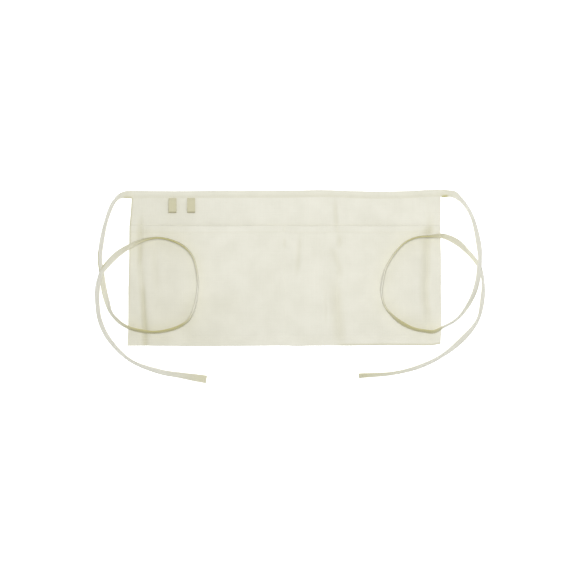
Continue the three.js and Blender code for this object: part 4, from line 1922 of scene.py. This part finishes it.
@dataclass
class Tie:
    """One tie: folded tape that stands on its outer edge where it curves, its inner edge leaning in."""

    name: str
    node: str
    turn: Turn
    crossing: Span
    on_top: Half  # which half lies over the other at the crossing
    route: tuple[tuple[float, float, float], ...]  # x, y and lean in degrees
    soil: tuple[Span, ...]  # lengths along the tie and how much it is darkened there: painted shade where it stands on edge over the cloth and at its root, and a darker free end
    dark_edges: tuple[DarkEdge, ...]
    rise: float = 0.0128
    crossing_reach: float = 0.062
    width: float = 0.0127
    thickness: float = 0.0020
    evenness: float = 0.94  # least share of the thickness
    uneven: Ripple = Ripple(37, 0.009, 0.12)
    root_thickness: float = 0.0042
    root_reach: float = 0.016
    clearance: float = 0.0008
    clear_above: float = 0.001  # height of the cloth below at which the whole clearance is kept
    step: float = 0.0022
    bridged: float = 0.024
    sway: Ripple = Ripple(31, 0.034, 6.0)  # of the lean, in degrees
    sway_from: Span = (8.0, 30.0)
    raw_row: float = -0.70  # how far across the row along the raw edge lies
    row_from: float = 0.006
    row_to: float = 0.004
    end_rows: Span = (0.0018, 0.0044)
    end_stitches: int = 5
    end_share: float = 0.66

    def sweep(self, cut: ApronCut) -> TapeSweep:
        """Lays the tape along its route on whatever is below it, over itself at its crossing.

        Args:
            cut: The cloth that it lies on.

        Returns:
            The laid tape.
        """
        x, y, lean = smooth_line(np.array(self.route), self.step).T
        walked = self.step * np.arange(len(x))
        sway = self.sway.at(walked, 0.0 * walked + self.crossing[0]) - 0.5 * self.sway.height
        lean = np.radians(np.clip(lean + sway * smooth(lean, *self.sway_from), 0.0, 90.0))
        heading = unit(np.column_stack([np.gradient(x), np.gradient(y)]))
        inward = self.turn.value * np.column_stack([-heading[:, 1], heading[:, 0]])
        thickness = self.thickness + (self.root_thickness - self.thickness) * hump(walked, self.root_reach)
        thickness = thickness * (self.evenness + self.uneven.at(walked, 0.0 * walked))
        half_wide, half_thick = 0.5 * self.width, 0.5 * thickness
        rests = [
            cut.rest_height(x + aside * np.cos(lean) * inward[:, 0], y + aside * np.cos(lean) * inward[:, 1])
            for aside in (-half_wide, 0.0)
        ]
        resting = bridge(np.maximum(*rests), round(self.bridged / self.step))
        upper = (walked > 0.5 * walked[-1]) == (self.on_top is Half.END)
        from_crossing = np.hypot(x - self.crossing[0], y - self.crossing[1])
        over = self.rise * hump(from_crossing, self.crossing_reach) * upper
        lowest = resting + self.clearance * smooth(resting, 0.0, self.clear_above) + over
        cos, sin = np.cos(lean)[:, None], np.sin(lean)[:, None]
        level, upright = np.column_stack([inward, 0.0 * x]), np.array([[0.0, 0.0, 1.0]])
        height = lowest + half_wide * np.sin(lean) + half_thick * np.cos(lean)
        return TapeSweep(
            middles=np.column_stack([x, y, height]),
            across=level * cos + upright * sin,
            through=upright * cos - level * sin,
            width=self.width,
            thickness=thickness,
        )

    def stitch(self, sweep: TapeSweep) -> bpy.types.Object:
        """Sews the row along the raw edge on both sides, and two rows across the free end.

        Args:
            sweep: The laid tape.

        Returns:
            The joined stitches.
        """
        work = Needlework(f"{self.name}_stitches", length=0.0024, width=0.0005, seed=14)
        total = walk(sweep.middles)[-1]
        places = np.arange(self.row_from, total - self.row_to, work.pitch)
        for side in ClothSide:
            work.sew(*sweep.at(places, self.raw_row, side))
            for from_end in self.end_rows:
                for share in np.linspace(-self.end_share, self.end_share, self.end_stitches):
                    point, along, out = sweep.at(np.array([total - from_end]), share, side)
                    work.sew(point, np.cross(out, along), out)
        return work.piece()

    def make(self, cut: ApronCut) -> bpy.types.Object:
        """Args:
            cut: The cloth that it lies on.

        Returns:
            The tie.
        """
        sweep = self.sweep(cut)
        piece = sweep.build(f"{self.name}_tape", inside_out=self.turn is Turn.RIGHT)
        walked, share = walk(sweep.middles)[:, None], sweep.section()[None, :, 0]
        # painted shade along the tie, and painted shadow at its dark edges
        soil = [np.interp(walked, *np.array(self.soil).T) + 0.0 * share]
        soil += [edge.at(walked, share) for edge in self.dark_edges]
        add_mask(piece, DARKENING_MASK, np.maximum.reduce(soil))
        dress(piece, TAPE, self.node)
        stitches = self.stitch(sweep)
        return piece


TIES = (
    Tie(
        name="left_tie",
        node="tie_left",
        turn=Turn.LEFT,
        crossing=(-0.296, -0.010),
        on_top=Half.END,
        soil=(
            (0.0, 0.10), (0.012, 0.11), (0.022, 0.05), (0.035, 0.0), (0.145, 0.0), (0.165, 0.10),
            (0.185, 0.10), (0.205, 0.0), (0.225, 0.15), (0.245, 0.38), (0.262, 0.84), (0.30, 0.94),
            (0.345, 0.90), (0.375, 0.14), (0.41, 0.0), (0.425, 0.14), (0.44, 0.32), (0.465, 0.54),
            (0.49, 0.88), (0.51, 1.0), (0.54, 0.90), (0.575, 0.34), (0.60, 0.16), (0.63, 0.14),
            (0.66, 0.0), (0.86, 0.0), (0.90, 0.20), (0.935, 0.46),
        ),
        dark_edges=(
            DarkEdge(0.0, 0.012, TieEdge.INNER, 0.5),
            DarkEdge(0.118, 0.152, TieEdge.OUTER, 0.9),
            DarkEdge(0.628, 0.640, TieEdge.OUTER, 0.9),
        ),
        route=(
            (-0.2473, 0.1186, 0), (-0.2570, 0.1183, 24), (-0.2657, 0.1161, 47), (-0.2728, 0.1102, 61),
            (-0.2787, 0.1017, 58), (-0.2888, 0.0741, 59), (-0.2960, 0.0399, 54), (-0.2986, 0.0140, 53),
            (-0.2953, -0.0099, 49), (-0.2921, -0.0343, 40), (-0.2872, -0.0540, 43), (-0.2802, -0.0728, 64),
            (-0.2661, -0.0880, 66), (-0.2505, -0.0970, 69), (-0.2300, -0.1022, 68), (-0.2100, -0.1040, 74),
            (-0.1910, -0.1016, 74), (-0.1716, -0.0958, 74), (-0.1548, -0.0844, 81), (-0.1458, -0.0671, 82),
            (-0.1411, -0.0458, 86), (-0.1393, -0.0246, 90), (-0.1416, -0.0039, 90), (-0.1471, 0.0162, 89),
            (-0.1600, 0.0326, 84), (-0.1795, 0.0433, 82), (-0.2040, 0.0484, 84), (-0.2278, 0.0444, 71),
            (-0.2503, 0.0345, 52), (-0.2694, 0.0219, 39), (-0.2853, 0.0057, 41), (-0.2958, -0.0101, 58),
            (-0.3015, -0.0341, 52), (-0.3025, -0.0560, 55), (-0.2986, -0.0847, 54), (-0.2845, -0.1144, 57),
            (-0.2496, -0.1495, 64), (-0.2020, -0.1679, 53), (-0.1680, -0.1739, 45), (-0.1264, -0.1806, 8),
        ),
    ),
    Tie(
        name="right_tie",
        node="tie_right",
        turn=Turn.RIGHT,
        crossing=(0.3154, -0.010),
        on_top=Half.ROOT,
        rise=0.0132,
        soil=(
            (0.0, 0.12), (0.012, 0.12), (0.022, 0.05), (0.035, 0.0), (0.270, 0.0), (0.281, 0.70),
            (0.30, 0.88), (0.345, 0.86), (0.375, 0.52), (0.39, 0.34), (0.405, 0.0), (0.44, 0.12),
            (0.465, 0.40), (0.49, 0.70), (0.51, 0.90), (0.54, 0.84), (0.56, 0.45), (0.575, 0.24),
            (0.60, 0.20), (0.625, 0.16), (0.64, 0.0), (0.84, 0.0), (0.87, 0.10), (0.90, 0.24),
            (0.947, 0.56),
        ),
        dark_edges=(DarkEdge(0.001, 0.0095, TieEdge.INNER, 1.0),),
        route=(
            (0.2540, 0.1204, 0), (0.2647, 0.1201, 31), (0.2739, 0.1188, 27), (0.2812, 0.1135, 46),
            (0.2908, 0.1036, 59), (0.3025, 0.0840, 60), (0.3098, 0.0598, 57), (0.3143, 0.0340, 49),
            (0.3150, 0.0140, 60), (0.3132, -0.0019, 53), (0.3107, -0.0221, 52), (0.3042, -0.0451, 54),
            (0.2914, -0.0684, 63), (0.2759, -0.0847, 73), (0.2574, -0.0949, 74), (0.2410, -0.1032, 68),
            (0.2261, -0.1021, 71), (0.2079, -0.0984, 72), (0.1894, -0.0895, 70), (0.1728, -0.0764, 77),
            (0.1610, -0.0610, 87), (0.1559, -0.0391, 87), (0.1583, -0.0159, 80), (0.1658, 0.0051, 87),
            (0.1792, 0.0258, 87), (0.1954, 0.0415, 88), (0.2141, 0.0492, 84), (0.2341, 0.0507, 81),
            (0.2549, 0.0513, 57), (0.2774, 0.0422, 40), (0.2942, 0.0279, 51), (0.3072, 0.0134, 56),
            (0.3167, -0.0026, 59), (0.3209, -0.0241, 67), (0.3202, -0.0479, 55), (0.3124, -0.0839, 65),
            (0.2899, -0.1129, 46), (0.2556, -0.1414, 63), (0.2194, -0.1593, 61), (0.1770, -0.1703, 64),
            (0.1197, -0.1747, 54),
        ),
    ),
)


@dataclass
class ToolLoop:
    """A short tape folded in half, its two ends caught under the waistband."""

    cut: ApronCut
    name: str
    node: str
    x: float
    length: float = 0.0238
    flat_length: float = 0.052
    bore: float = 0.0049
    neck: float = 0.007
    neck_layers: float = 1.15  # how far apart the two layers' middles come at the waistband, to the wall
    wall: float = 0.0011
    width: float = 0.0127
    straight_steps: int = 8
    turn_steps: int = 12
    darkened: float = 0.0030  # how far up from the fold the painted shadow reaches

    def sweep(self) -> TapeSweep:
        """Leads the tape down its back layer, round the fold and up its front layer.

        Returns:
            The folded tape.
        """
        here = np.array(self.x)
        top = float(self.cut.band_top(here)) - self.cut.band_depth - self.cut.gap
        radius = 0.5 * (self.bore + self.wall)
        bend = top - self.length + radius + 0.5 * self.wall
        down = np.linspace(top, bend, self.straight_steps + 1)
        turn = np.linspace(0.0, math.pi, self.turn_steps + 1)[1:-1]
        base = self.cut.panel_face(here, down) + self.cut.gap + 0.5 * self.wall
        base_bend = float(base[-1]) + radius
        closing = smooth(down, top - self.neck, top)
        front = base + 2.0 * radius * (1.0 - closing) + self.neck_layers * self.wall * closing
        y = np.concatenate([down, bend - radius * np.sin(turn), down[::-1]])
        z = np.concatenate([base, base_bend - radius * np.cos(turn), front[::-1]])
        middles = np.column_stack([np.full_like(y, self.x), y, z])
        heading = unit(np.gradient(middles, axis=0))
        across = np.tile([1.0, 0.0, 0.0], (len(y), 1))
        return TapeSweep(middles, across, np.cross(heading, across), self.width, np.full_like(y, self.wall))

    def make(self) -> bpy.types.Object:
        """Returns:
            The loop.
        """
        sweep = self.sweep()
        piece = sweep.build(f"{self.name}_tape", inside_out=False)
        # painted shadow along the fold at the loop's lower end
        low = hump(sweep.middles[:, 1] - sweep.middles[:, 1].min(), self.darkened)
        add_mask(piece, DARKENING_MASK, np.repeat(low, len(sweep.section())))
        dress(piece, LOOP_TAPE, self.node)
        return piece


@dataclass
class Studio:
    """The pale floor, the soft light from overhead and the camera straight above."""

    aim: Span = (0.00875, -0.03596)
    view_width: float = 0.9396
    lens: float = 120.0
    sensor: float = 36.0
    key_from: tuple[float, float, float] = (0.03, 0.16, 1.9)
    key_toward: tuple[float, float, float] = (0.50, 0.47, 0.0)
    key_power: float = 25.6
    key_size: float = 0.45
    sky: float = 0.42
    floor_size: float = 8.0
    floor_drop: float = 0.0003  # below the frame's origin, clear of the tape and thread that lie on it
    floor_light: Colour = (0.97, 0.97, 0.97)
    floor_dark: Colour = (0.93, 0.93, 0.93)
    floor_clouds: float = 2.0
    floor_roughness: float = 0.9
    floor_glow: float = 0.56
    glow_colour: Colour = (0.95, 0.99, 1.08)

    def camera(self) -> None:
        """Places the camera above the apron, the waistband at the top of the picture."""
        eye = bpy.data.cameras.new("camera")
        eye.lens, eye.sensor_width = self.lens, self.sensor
        holder = bpy.data.objects.new("camera", eye)
        holder.location = (*self.aim, self.view_width * self.lens / self.sensor)
        bpy.context.collection.objects.link(holder)
        bpy.context.scene.camera = holder

    def lights(self) -> None:
        """Sets an even white sky and the key light by the camera, turned to the upper right."""
        world = bpy.data.worlds.new("studio")
        world.use_nodes = True
        sky = next(node for node in world.node_tree.nodes if node.type == "BACKGROUND")
        sky.inputs["Color"].default_value = (1.0, 1.0, 1.0, 1.0)
        sky.inputs["Strength"].default_value = self.sky
        bpy.context.scene.world = world
        lamp = bpy.data.lights.new("key", "AREA")
        lamp.energy, lamp.size = self.key_power, self.key_size
        holder = bpy.data.objects.new("key", lamp)
        holder.location = Vector((*self.aim, 0.0)) + Vector(self.key_from)
        turned = Vector(self.key_toward) - Vector(self.key_from)
        holder.rotation_euler = turned.to_track_quat("-Z", "Y").to_euler()
        holder.visible_camera = False
        bpy.context.collection.objects.link(holder)
        bpy.context.scene.view_settings.view_transform = "Standard"

    def floor(self) -> None:
        """Lays the pale floor, lit a little from within as a light table is."""
        bpy.ops.object.select_all(action="DESELECT")
        bpy.ops.mesh.primitive_plane_add(size=self.floor_size, location=(0.0, 0.0, -self.floor_drop))
        floor = bpy.context.object
        floor.name = "floor"
        material, board, shader = empty_material("pale_floor")
        vector = board.add("ShaderNodeTexCoord").outputs["Object"]
        cloud = board.noise(vector, self.floor_clouds, 2.0)
        board.feed(shader.inputs["Base Color"], board.tint(cloud, (*self.floor_dark, 1.0), self.floor_light))
        shader.inputs["Roughness"].default_value = self.floor_roughness
        shader.inputs["Emission Color"].default_value = (*self.glow_colour, 1.0)
        shader.inputs["Emission Strength"].default_value = self.floor_glow
        floor.data.materials.append(material)


def main() -> None:
    """Builds the studio and the apron's pieces in order, and reports each piece."""
    logging.basicConfig(level=logging.INFO, format="%(message)s")
    studio = Studio()
    studio.camera()
    cut = ApronCut()
    pieces = [
        *(tie.make(cut) for tie in TIES),
        ApronPanel(cut, "apron_cloth", "apron_panel", (0.552, 0.264)).make([]),
        PocketPanel(cut, "pocket_cloth", "pocket_panel", (0.552, 0.220)).make(["apron_cloth"]),
        Waistband(cut).make(),
        ToolLoop(cut, "left_loop", "tool_loop_left", -0.1813).make(),
        ToolLoop(cut, "right_loop", "tool_loop_right", -0.1511).make(),
    ]
    for piece in pieces:
        LOG.info("%s has %d faces", piece.name, len(piece.data.polygons))
    studio.lights()
    studio.floor()


if __name__ == "__main__":
    main()
